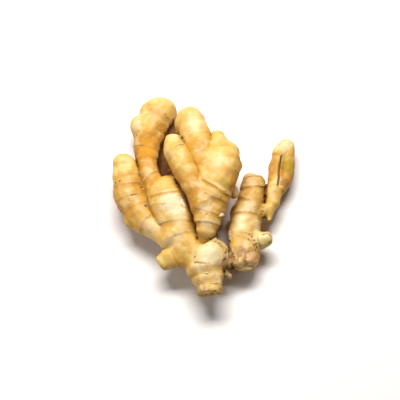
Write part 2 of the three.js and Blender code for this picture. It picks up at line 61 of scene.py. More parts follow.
# The fingers' middle lines, as the part has them: stations [x, y, z, radius] in millimetres from root to
# tip, then the leaf rings as [place in stations, depth, tilt], the far end's shape, that end's length over
# its radius, and the section's height over its width. tone is the skin's at each station, from -1 for
# golden brown to 1 for cream. join is how widely the finger's root melts into what it grows from, and melt
# how much the rest of it does, both in millimetres.
fingers = dict(
    middleBody=dict(
        path=[[-1, -42.5, 19.5, 9], [-9.5, -33.4, 20, 10.4], [-14.5, -23.4, 20.5, 11.8],
              [-17.2, -13.2, 20.6, 14.2], [-20.1, -2.7, 20.9, 16.1], [-22.2, 4.9, 21, 14.6]],
        rings=[[0.65, 0.6, 0], [1.55, 0.7, 0], [2.4, 0.8, 0], [3.45, 0.8, -0.25], [4.65, 0.7, -0.15]],
        tone=[0, 0.2, 0.4, 0.8, 0.6, -0.3],
        cap=0.72, height=0.9, join=3),
    tallFinger=dict(
        path=[[-21, -10, 20, 10.5], [-26.5, -2, 20.5, 10.3], [-31.9, 7.3, 20.5, 9],
              [-35.6, 18.2, 19.3, 7.8], [-36.6, 26, 18, 7.6], [-37.3, 32, 17, 8.4], [-37.6, 41, 15.5, 9.6],
              [-35.5, 50, 14, 10.2], [-32.4, 60, 13, 11.7], [-29.8, 69, 13, 13.2]],
        rings=[[2.65, 0.7, 0.45], [4.15, 0.7, 0.4], [5.65, 0.6, -0.24], [8.1, 0.1, 0]],
        tone=[0.1, -0.2, -0.6, -0.9, -1.3, -1.6, -1.6, -1, -0.2, 0.3],
        cap=0.9, height=0.95, join=9),
    tallFingerKnob=dict(
        path=[[-36, 55, 14, 9], [-40.8, 57, 15, 8], [-44, 58, 15.5, 6.8]],
        rings=[[1.2, 0.4, 0]],
        tone=[-0.3, 0.4, 0.6],
        cap=0.9, join=5, melt=4),
    outerFinger=dict(
        path=[[-21, -29, 18, 7.5], [-32, -20.5, 18, 8.3], [-38.9, -13.5, 17.5, 9.6], [-44.2, -5, 17, 10.8],
              [-48.2, 3, 17, 11.5], [-50.1, 11, 17.5, 10.6], [-52.1, 18.5, 18.5, 10.1],
              [-53.3, 25.5, 19.5, 8.6]],
        rings=[[1.5, 0.4, 0], [2.85, 0.7, 0.1], [3.75, 0.7, 0], [4.85, 0.8, 0], [5.75, 0.4, 0]],
        tone=[0.5, 0.4, 0, -0.7, -0.7, -0.4, 0, 0.4],
        cap=0.95, height=0.92, join=9),
    outerFingerBump=dict(
        path=[[-42, -8, 16, 7], [-46.5, -12.5, 15.5, 5.2], [-49.6, -15.8, 15, 4]],
        tone=[0, 0, -0.2],
        cap=0.8, join=4, melt=3.5),
    baseKnot=dict(
        path=[[0.3, -37.8, 19, 6.9], [4.1, -41.8, 20.5, 11.9], [3.6, -48.7, 19.3, 12.3],
              [5.1, -55.7, 18.8, 10.5], [6.5, -61.9, 18.5, 9.1], [6.7, -67, 18.3, 8.6]],
        rings=[[1.9, 0.3, 0], [2.95, 0.6, 0], [4.3, 0.12, 0]],
        tone=[0.7, 1, 0.8, 0.3, 0, -0.3],
        tip="broken", cap=0.3, height=0.95, join=3, melt=2),
    tornFace=dict(
        path=[[6, -41, 19, 10.5], [12.5, -41.5, 18, 9.6], [16.5, -42, 17, 8.4]],
        rings=[[0.9, 0.3, 0]],
        tone=[0.5, 0.3, -0.3],
        tip="broken", cap=0.3, join=3, melt=2.5),
    lowerLeftKnob=dict(
        path=[[-3.2, -38.4, 17, 11], [-13.4, -39.6, 17, 8.8], [-20.5, -42.4, 17, 7.2],
              [-26, -45.6, 16.5, 6.1]],
        rings=[[1.7, 0.5, 0]],
        tone=[0, -0.2, -0.3, 0.1],
        tip="blunt", cap=0.55, height=0.95, join=4, melt=2.5),
    risingTrunk=dict(
        path=[[-0.3, -35.8, 24.5, 2], [0.9, -33.6, 26.5, 3], [2.5, -30.7, 28.5, 4.5],
              [3.8, -26.3, 30.5, 6.5], [5, -21.1, 32, 8.6], [6.1, -14.9, 33, 10.1], [7.8, -8, 34, 11.2],
              [9.2, -0.7, 34.6, 12.7], [11.5, 8.2, 35, 14.2], [13, 16.7, 35.2, 14.6],
              [13.6, 22.5, 35, 13.4]],
        rings=[[2.2, 0.7, 0.15], [3.7, 0.95, 0], [4.95, 1.1, 0], [6.5, 0.9, -0.25], [7.35, 0.8, -0.35]],
        tone=[0.1, 0.1, 0.1, 0.2, 0.3, 0.2, 0.1, 0.1, 0, -0.1, -0.1],
        cap=0.8, height=0.85, join=1.5),
    shoulderKnob=dict(
        path=[[13, 24.5, 34.5, 12], [13.6, 31.5, 35, 8.7], [13.2, 37.6, 35, 6.7], [12.5, 42.2, 34.5, 4.9]],
        tone=[0.3, 0.4, 0, 0.1],
        cap=0.6, height=0.95, join=3, melt=1.2),
    shoulderLobe=dict(
        path=[[13, 17.6, 34.5, 12.5], [17, 26.5, 34, 10.6], [20.2, 32, 33.5, 8.4]],
        tone=[0.1, -0.2, -0.6],
        cap=0.7, height=0.9, join=4, melt=3),
    shoulderBump=dict(
        path=[[20, 20.6, 33, 6], [26.6, 20.2, 32.5, 3]],
        tone=[-0.2, -0.4],
        join=3, melt=2.5),
    topFinger=dict(
        path=[[9, 13.4, 34, 10], [5, 20.5, 34.5, 10.4], [1, 29.5, 34.5, 10.2], [-2.2, 38, 33.5, 10.2],
              [-5.6, 47, 32.5, 10.5], [-8, 54, 31.5, 10.6]],
        rings=[[1.7, 0.4, 0], [3.1, 0.35, 0], [4.5, 0.05, 0]],
        tone=[-1.2, -1, -0.3, 0.3, 0.4, 0.3],
        cap=0.95, height=0.95, join=3),
    innerFinger=dict(
        path=[[3, -6.8, 34, 9.4], [-3.4, 2.9, 35.5, 8.8], [-8.9, 12.1, 36.5, 8.6], [-13.1, 20.2, 36.8, 8.6],
              [-16.6, 27.8, 36.5, 8.8], [-18.2, 34.4, 36, 7.4], [-18.1, 38.8, 35.7, 5.8]],
        rings=[[1.2, 0.1, 0], [2.4, 0.25, 0], [3.6, 0.35, 0]],
        tone=[-1, -1, -0.4, 0, 0.2, 0.4, 0.5],
        tip="blunt", cap=0.5, height=0.95, join=7),
    trunkBud=dict(
        path=[[14, 5.5, 30.5, 5.5], [21.9, 3.6, 28.3, 4.8], [24.2, 1.2, 27, 4.1]],
        tone=[0, 0.2, 0.4],
        cap=0.8, join=2, melt=0.8),
    rightTrunk=dict(
        path=[[30.5, -44, 12.5, 10], [29.5, -35, 12.5, 10.6], [30.4, -26.5, 13, 10.6],
              [32.4, -18, 13.5, 10.2], [33.6, -9.3, 13.5, 9.8], [35, -0.6, 13.5, 9.2], [37, 7.5, 13.5, 8.9],
              [38.7, 15.2, 13.5, 8.1]],
        rings=[[2.3, 0.4, 0], [3.8, 0.8, 0], [4.9, 0.8, -0.2], [6.35, 0.9, 0.25]],
        tone=[0.1, 0.2, 0.6, 0.6, 0.3, 0.1, -0.2, -0.7],
        tip="blunt", cap=0.75, height=0.95, join=1.5),
    rightTrunkBulge=dict(
        path=[[33, -15, 11, 8], [29, -10, 10.5, 7], [26.5, -6, 10, 5.8]],
        tone=[0, -0.5, -0.7],
        cap=0.9, join=4, melt=3),
    tornBridge=dict(
        path=[[8, -43, 15, 8.5], [16, -42.5, 12.5, 7.2], [24, -41, 11.5, 7], [31, -37, 12, 8]],
        rings=[[1.1, 0.8, 0]],
        tone=[0, -0.3, -0.3, 0],
        cap=0.6, height=0.9, join=1.5, melt=0.8),
    rightKnob=dict(
        path=[[35, -30, 14, 7.2], [41, -28.5, 15, 6.6], [45.6, -28, 16, 6]],
        rings=[[1.2, 0.5, 0]],
        tone=[0.5, 0.8, 0.9],
        tip="blunt", cap=0.85, join=3, melt=1.5),
    longFinger=dict(
        path=[[48.3, -12.8, 12.2, 1.8], [49.4, -6, 12, 3.4], [51.6, 1, 11.2, 6], [52.2, 8.3, 10.5, 6.9],
              [54, 15.7, 10, 6], [54.2, 22.7, 9.7, 5.4], [55.4, 31.2, 9.5, 5.6], [58.5, 39, 9.3, 7],
              [60.9, 42.7, 9.3, 7.2]],
        rings=[[3.6, 0.3, 0.3], [6.4, 0.4, -0.2]],
        tone=[0.3, 0.3, 0.4, 0.2, -0.6, -1.1, -1, 0.4, 0.7],
        height=1.05, join=2, melt=0.4),
    longFingerSide=dict(
        path=[[62.1, 41.3, 9.5, 6], [63.2, 33.5, 9.5, 5], [62.6, 24.2, 9.8, 5], [60.8, 18, 10.1, 4.7],
              [57.7, 11.7, 10.5, 4.2], [55.1, 7.1, 10.8, 3.2]],
        rings=[[1, 0.4, 0.2]],
        tone=[0.4, -0.9, -1.3, -1.3, -0.9, -0.3],
        height=1.1, join=1.2, melt=0.3),
    longFingerFoot=dict(
        path=[[38.6, -7, 13, 5.8], [44.2, -6.2, 13, 4.8], [49.2, -4, 13, 3.8]],
        tone=[0, 0, 0.2],
        cap=0.8, join=2.5, melt=1.5),
    stubBud=dict(
        path=[[12.5, -49.5, 14.5, 4.2], [16.5, -52, 13.5, 3.2], [19.5, -54, 13, 2.4]],
        tone=[0, -0.3, -0.5],
        cap=1.1, join=2, melt=1),
    # the lobe under the gap beside the tall finger: its darkest golden tone is painted shade there
    underLobe=dict(
        path=[[-19.7, -4, 13.5, 10], [-22.5, 9.5, 11, 8.8], [-23.8, 23, 9, 8], [-23.2, 36, 8, 7.6],
              [-21.5, 46, 7.6, 7.2], [-19.8, 53, 7.4, 6.4], [-18.8, 59.5, 7.2, 5.6]],
        rings=[[1.3, 0.5, 0], [2.6, 0.5, 0], [3.9, 0.5, 0]],
        tone=[-1, -1.2, -1.3, -1.3, -1.3, -1.3, -1.3],
        cap=0.9, height=0.9, join=3, melt=1.2),
    underTrunk=dict(
        path=[[3.5, -35, 14, 8], [5.2, -26.2, 12.5, 7.3], [6.6, -17, 11.5, 6.7], [7.5, -8.7, 11, 5.6]],
        rings=[[0.9, 0.5, 0], [2, 0.5, 0]],
        tone=[-0.5, -0.6, -0.7, -0.7],
        cap=0.9, height=0.9, join=3, melt=1.2),
    headFoot=dict(
        path=[[-30, 66, 9, 8], [-29.5, 66, 4, 6], [-29.5, 66, 1.5, 4.5]],
        tone=[-0.1, -0.2, -0.2],
        cap=0.5, join=4, melt=3),
    bodyFoot=dict(
        path=[[-15, -30, 14, 9], [-15.5, -31, 7, 7], [-16, -31.5, 1.8, 5]],
        rings=[[1.2, 0.5, 0]],
        tone=[0, -0.2, -0.2],
        cap=0.5, join=4, melt=3),
    trunkFoot=dict(
        path=[[33.5, -13, 10, 8], [34.5, -12, 4.5, 6.2], [34.8, -12, 1.6, 4.6]],
        tone=[0, -0.2, -0.2],
        cap=0.5, join=4, melt=3),
)

# What a finger is where it doesn't say otherwise.
usualFinger = dict(rings=[], tip="round", cap=1, height=1, melt=0.5)
fingers = {name: usualFinger | finger for name, finger in fingers.items()}

# The middle of the hand's box in X and Y, in the fingers' own millimetres: the frame's origin is there.
handMiddle = np.array([3.152, 5.946, 0])

# The far ends: how full each shape is, and a broken end's reach past its last station, dish and rounding.
endRoundness = dict(round=1.0, blunt=0.7, broken=1.0)
brokenEnd = dict(length=1.3, dish=0.9, edge=1.0, dishReach=1.2)
rootCap = 0.5
lineForm = dict(step=0.7, fewest=3, steep=0.8)


# A finger's middle as points a step apart on a smooth curve, with the ways along, aside and up at each.
def middleLine(finger):
    path = np.array(finger["path"], float)
    knots = np.vstack([2 * path[0, :3] - path[1, :3], path[:, :3], 2 * path[-1, :3] - path[-2, :3]])
    places, points, along = [], [], []
    for i in range(len(path) - 1):
        a, b, c, d = knots[i:i + 4]
        before, here, after = (np.linalg.norm(far - near) ** 0.5 for near, far in ((a, b), (b, c), (c, d)))
        leave = ((b - a) / before - (c - a) / (before + here) + (c - b) / here) * here
        arrive = ((c - b) / here - (d - b) / (here + after) + (d - c) / after) * here
        steps = max(lineForm["fewest"], math.ceil(np.linalg.norm(c - b) / lineForm["step"]))
        t = np.arange(steps + (i == len(path) - 2))[:, None] / steps
        square = -3 * b + 3 * c - 2 * leave - arrive
        cube = 2 * b - 2 * c + leave + arrive
        places.append(i + t[:, 0])
        points.append(b + leave * t + square * t ** 2 + cube * t ** 3)
        along.append(leave + 2 * square * t + 3 * cube * t ** 2)
    places, points, along = np.concatenate(places), np.vstack(points), np.vstack(along)
    along /= np.linalg.norm(along, axis=1, keepdims=True)
    whole = points[-1] - points[0]
    upright = abs(whole[2]) > lineForm["steep"] * np.linalg.norm(whole)
    side = np.cross(along, (1, 0, 0) if upright else (0, 0, 1))
    side /= np.linalg.norm(side, axis=1, keepdims=True)
    station = np.minimum(places.astype(int), len(path) - 2)
    part = places - station
    part = part * part * (3 - 2 * part)
    radius = path[station, 3] * (1 - part) + path[station + 1, 3] * part
    arc = np.concatenate([[0], np.cumsum(np.linalg.norm(np.diff(points, axis=0), axis=1))])
    ringPlaces = np.array([ring[0] for ring in finger["rings"]])
    leans = ringPlaces * ringForm["leanPerStation"] + np.arange(len(ringPlaces))
    return dict(points=points, along=along, side=side, height=np.cross(side, along), radius=radius, arc=arc,
                ringArcs=np.interp(ringPlaces, places, arc), leans=leans, places=places,
                depths=[ring[1] for ring in finger["rings"]], tilts=[ring[2] for ring in finger["rings"]])


# Joins form a to form b with a soft fillet of that width, and says how far each point is b's.
def soften(a, b, width):
    share = np.clip(0.5 + 0.5 * (a - b) / width, 0, 1)
    return a * (1 - share) + b * share - width * share * (1 - share), share


# Smooth seeded lumps of about that length: a sum of waves in random directions.
def waves(points, length, seed, count=14):
    draw = np.random.default_rng(seed)
    ways = draw.normal(size=(count, 3))
    ways *= (2 * math.pi / length * draw.uniform(0.7, 1.4, count) / np.linalg.norm(ways, axis=1))[:, None]
    return np.sin(points @ ways.T + draw.uniform(0, 2 * math.pi, count)).sum(axis=1) / math.sqrt(count)


def layeredWaves(points, layers, seed):
    return sum(height * waves(points, length, seed + i) for i, (height, length) in enumerate(layers))


# Where points lie on one finger: the distance to its skin, how far along it, round it and out they are.
def placeOn(finger, line, points):
    gaps = (line["points"] ** 2).sum(axis=1) - 2 * points @ line["points"].T
    near = gaps.argmin(axis=1)
    offset = points - line["points"][near]
    ahead = (offset * line["along"][near]).sum(axis=1)
    across = offset - ahead[:, None] * line["along"][near]
    x = (across * line["side"][near]).sum(axis=1)
    y = (across * line["height"][near]).sum(axis=1) / finger["height"]
    length = line["arc"][-1]
    past = np.where(near == len(line["arc"]) - 1, np.maximum(ahead, 0), 0)
    before = np.where(near == 0, np.maximum(-ahead, 0), 0)
    arc = np.clip(line["arc"][near] + ahead, 0, length)
    radius = np.interp(arc, line["arc"], line["radius"])
    out = np.hypot(x, y)
    distance = out - radius
    if finger["tip"] == "broken":
        dish = brokenEnd["dish"] * (1 - np.minimum(out / radius, brokenEnd["dishReach"]) ** 2)
        pastFace = arc - length + past - brokenEnd["length"] + dish
        distance = -soften(-distance, -pastFace, brokenEnd["edge"])[0]
    else:
        fullness = 2 / endRoundness[finger["tip"]]
        end = np.sqrt((out / radius) ** fullness + (past / (finger["cap"] * radius)) ** 2)
        distance = np.where(past > 0, (end - 1) * radius, distance)
    start = np.sqrt((out / radius) ** 2 + (before / (rootCap * radius)) ** 2)
    distance = np.where(before > 0, (start - 1) * radius, distance)
    tone = np.interp(line["places"][near], np.arange(len(finger["tone"])), finger["tone"])
    return dict(distance=distance, arc=arc + past - before, x=x, y=y, radius=radius, angle=np.arctan2(y, x),
                tone=tone)


# The rings are low steps: towards the tip the skin stands proud of the line, and towards the root it is
# sunk. They lean and waver as the part has them, and the skin bulges a little between them.
ringForm = dict(lean=0.14, leanPerStation=2.4, leanChange=3, unevenness=0.45, internodeBulge=0.025,
                shortest=0.1, lip=0.34, lipLength=4.0, drop=0.4, dropLength=3.0, edge=0.3,
                nearby=(4.0, 1.5), kept=6)


def ringRelief(line, on):
    count = len(on["arc"])
    nearest = np.full(count, noRing)
    depth = np.zeros(count)
    for arc, lean, ringDepth, tilt in zip(line["ringArcs"], line["leans"], line["depths"], line["tilts"]):
        lopsided = ringForm["lean"] * np.sin(on["angle"] + lean) * math.sin(ringForm["leanChange"] * lean)
        tipped = on["radius"] * (lopsided + tilt * np.cos(on["angle"]))
        past = on["arc"] - arc - tipped
        closer = np.abs(past) < np.abs(nearest)
        uneven = 1 + ringForm["unevenness"] * np.sin(on["angle"] - 2 * lean)
        nearest = np.where(closer, past, nearest)
        depth = np.where(closer, ringDepth * uneven, depth)
    bounds = np.concatenate([[0], line["ringArcs"], [line["arc"][-1]]])
    index = np.clip(np.searchsorted(bounds, on["arc"]) - 1, 0, len(bounds) - 2)
    internode = np.maximum(bounds[index + 1] - bounds[index], ringForm["shortest"])
    part = np.clip((on["arc"] - bounds[index]) / internode, 0, 1)
    bulge = ringForm["internodeBulge"] * on["radius"] * np.sin(math.pi * part)
    rise = ringForm["lip"] * np.exp(-np.maximum(nearest, 0) / ringForm["lipLength"])
    fall = -ringForm["drop"] * np.exp(np.minimum(nearest, 0) / ringForm["dropLength"])
    over = 1 / (1 + np.exp(-nearest / ringForm["edge"]))
    relief = depth * (rise * over + fall * (1 - over))
    return relief + bulge, nearest, depth


# How far a finger's form is worked out from its middle, how fast its root's joint fades, and how much of
# the relief a joint smooths away.
jointForm = dict(reach=9.0, fade=1.1, calm=0.8)


# How widely a finger melts into the others at each place along it.
def meltWidth(finger, on):
    fade = jointForm["fade"] * finger["path"][0][3]
    return finger["melt"] + finger["join"] * np.exp(-np.maximum(on["arc"], 0) / fade)


def pointsNear(line, points):
    reach = line["radius"].max() + jointForm["reach"]
    low, high = line["points"].min(axis=0) - reach, line["points"].max(axis=0) + reach
    return np.flatnonzero(((points > low) & (points < high)).all(axis=1))


# The whole hand as one smooth form: how far points are from its skin.
def handDistance(points):
    distance = np.full(len(points), farAway)
    for name, finger in fingers.items():
        inside = pointsNear(lines[name], points)
        if len(inside):
            on = placeOn(finger, lines[name], points[inside])
            distance[inside] = soften(distance[inside], on["distance"], meltWidth(finger, on))[0]
    return distance


# The same form, with what the skin there belongs to.
def handField(points):
    count = len(points)
    field = dict(distance=np.full(count, farAway), relief=np.zeros(count), tone=np.zeros(count),
                 ring=np.full(count, noRing), ringDepth=np.zeros(count), fromTip=np.full(count, farAway),
                 radius=np.full(count, farAway), flow=np.zeros((count, 3)))
    for number, (name, finger) in enumerate(fingers.items()):
        line = lines[name]
        inside = pointsNear(line, points)
        if not len(inside):
            continue
        on = placeOn(finger, line, points[inside])
        blended, share = soften(field["distance"][inside], on["distance"], meltWidth(finger, on))
        relief, ring, depth = ringRelief(line, on)
        clear = 1 - jointForm["calm"] * 4 * share * (1 - share)
        field["distance"][inside] = blended
        field["relief"][inside] = (field["relief"][inside] * (1 - share) + relief * share) * clear
        field["tone"][inside] = field["tone"][inside] * (1 - share) + on["tone"] * share
        mine = share > 0.5
        won = inside[mine]
        field["ring"][won] = ring[mine]
        field["ringDepth"][won] = depth[mine] * clear[mine]
        field["fromTip"][won] = (line["arc"][-1] + finger["cap"] * line["radius"][-1] - on["arc"])[mine]
        field["radius"][won] = on["radius"][mine]
        field["flow"][won] = np.stack([on["x"], on["y"], on["arc"]], axis=1)[mine] + grainShift * number
    return field


lines = {name: middleLine(finger) for name, finger in fingers.items()}

# The finer body: voxel is the mesh's cell, and inset keeps the skin just inside the part's own box. The
# skin's low swells are the part's, and the lumps, as (height, length), are finer.
bodyForm = dict(voxel=0.73, inset=0.12, sides=28, sectionStep=2.0, capRows=6,
                smoothing=2, glide=0.6, settling=4, stride=1.2,
                swell=0.6, swellLengths=(5.1, 6.3, 4.7), narrowRadius=6,
                lumps=((0.25, 11.0), (0.07, 4.5), (0.025, 2.2)), lumpSeed=7, boxMargin=0.06, boxGive=2.5)


def tubeRows(finger, line):
    step = max(1, round(bodyForm["sectionStep"] / lineForm["step"]))
    picks = sorted({*range(0, len(line["arc"]), step), len(line["arc"]) - 1})
    tip, root = picks[-1], picks[0]
    turns = np.linspace(0, math.pi / 2, bodyForm["capRows"])[1:-1]
    tipRows = [(tip, line["radius"][tip] * math.cos(turn) ** endRoundness[finger["tip"]],
                finger["cap"] * line["radius"][tip] * math.sin(turn)) for turn in turns]
    rootRows = [(root, line["radius"][root] * math.cos(turn),
                 -rootCap * line["radius"][root] * math.sin(turn)) for turn in reversed(turns)]
    return rootRows + [(pick, line["radius"][pick], 0.0) for pick in picks] + tipRows


def addTube(mesh, finger, line):
    angles = np.arange(bodyForm["sides"]) / bodyForm["sides"] * 2 * math.pi
    loops = []
    for pick, radius, shift in tubeRows(finger, line):
        outward = (np.cos(angles)[:, None] * line["side"][pick]
                   + finger["height"] * np.sin(angles)[:, None] * line["height"][pick])
        ring = line["points"][pick] + line["along"][pick] * shift + outward * radius
        loops.append([mesh.verts.new(point) for point in ring])
    for near, far in zip(loops, loops[1:]):
        for a, b, c, d in zip(near, near[1:] + near[:1], far[1:] + far[:1], far):
            mesh.faces.new((a, d, c, b))
    mesh.faces.new(loops[0])
    mesh.faces.new(loops[-1][::-1])


def meshArrays(mesh):
    points = np.empty(len(mesh.vertices) * 3)
    mesh.vertices.foreach_get("co", points)
    edges = np.empty(len(mesh.edges) * 2, int)
    mesh.edges.foreach_get("vertices", edges)
    return points.reshape(-1, 3), edges.reshape(-1, 2)


def vertexNormals(mesh, points):
    mesh.vertices.foreach_set("co", points.ravel())
    mesh.update()
    normals = np.empty(len(points) * 3)
    mesh.vertex_normals.foreach_get("vector", normals)
    return normals.reshape(-1, 3)


def neighbourMean(points, edges):
    total = np.zeros_like(points)
    number = np.bincount(edges.ravel(), minlength=len(points))[:, None]
    for axis in range(points.shape[1]):
        total[:, axis] = (np.bincount(edges[:, 0], points[edges[:, 1], axis], len(points))
                          + np.bincount(edges[:, 1], points[edges[:, 0], axis], len(points)))
    return total / number


# All the fingers as plain tubes, joined into one skin of even cells.
def roughBody():
    mesh = bmesh.new()
    for name, finger in fingers.items():
        addTube(mesh, finger, lines[name])
    bmesh.ops.recalc_face_normals(mesh, faces=mesh.faces)
    data = bpy.data.meshes.new("roughBody")
    mesh.to_mesh(data)
    mesh.free()
    piece = bpy.data.objects.new("gingerBody", data)
    bpy.context.collection.objects.link(piece)
    remesh = piece.modifiers.new("remesh", "REMESH")
    remesh.mode = "VOXEL"
    remesh.voxel_size = bodyForm["voxel"]
    graph = bpy.context.evaluated_depsgraph_get()
    fine = bpy.data.meshes.new_from_object(piece.evaluated_get(graph))
    piece.modifiers.clear()
    piece.data = fine
    return piece


def swell(points):
    a, b, c = bodyForm["swellLengths"]
    x, y, z = points.T
    return bodyForm["swell"] * (np.sin(x / a) * np.sin(y / b + 1) + np.sin(z / c + x / b))


# Where the hand is torn or broken, as ellipsoids with their centres and half sizes in the fingers'
# millimetres. A torn skin sinks by depth and turns ragged, by (height, length), over an uneven border.
tornForm = dict(depth=0.3, border=0.25, borderLength=5.0, borderSeed=31, edge=(1.08, 0.86),
                ragged=((0.42, 5.5), (0.1, 2.2)), raggedSeed=41)
tornZones = [
    dict(centre=(29, -43.5, 18), size=(9.5, 9, 8), strength=1.0),
    dict(centre=(31, -50, 12), size=(9.5, 5, 9), strength=1.0),
    dict(centre=(18.5, -43.5, 18), size=(4.5, 8, 9), strength=0.9),
    dict(centre=(6.7, -70.6, 17.5), size=(11, 6.4, 11), strength=0.9, ragged=1.6),
    dict(centre=(21, -42, 9), size=(8, 7, 8), strength=0.9),
    dict(centre=(19.5, -54, 14), size=(5, 4.5, 5), strength=0.8),
]


def tornAmount(points):
    border = tornForm["border"] * waves(points, tornForm["borderLength"], tornForm["borderSeed"])
    outer, inner = tornForm["edge"]
    amount, ragged = np.zeros(len(points)), np.zeros(len(points))
    for zone in tornZones:
        reach = np.linalg.norm((points - zone["centre"]) / zone["size"], axis=1) + border
        here = zone["strength"] * np.clip((outer - reach) / (outer - inner), 0, 1)
        amount = np.maximum(amount, here)
        ragged = np.maximum(ragged, here * zone.get("ragged", 1))
    return amount, ragged
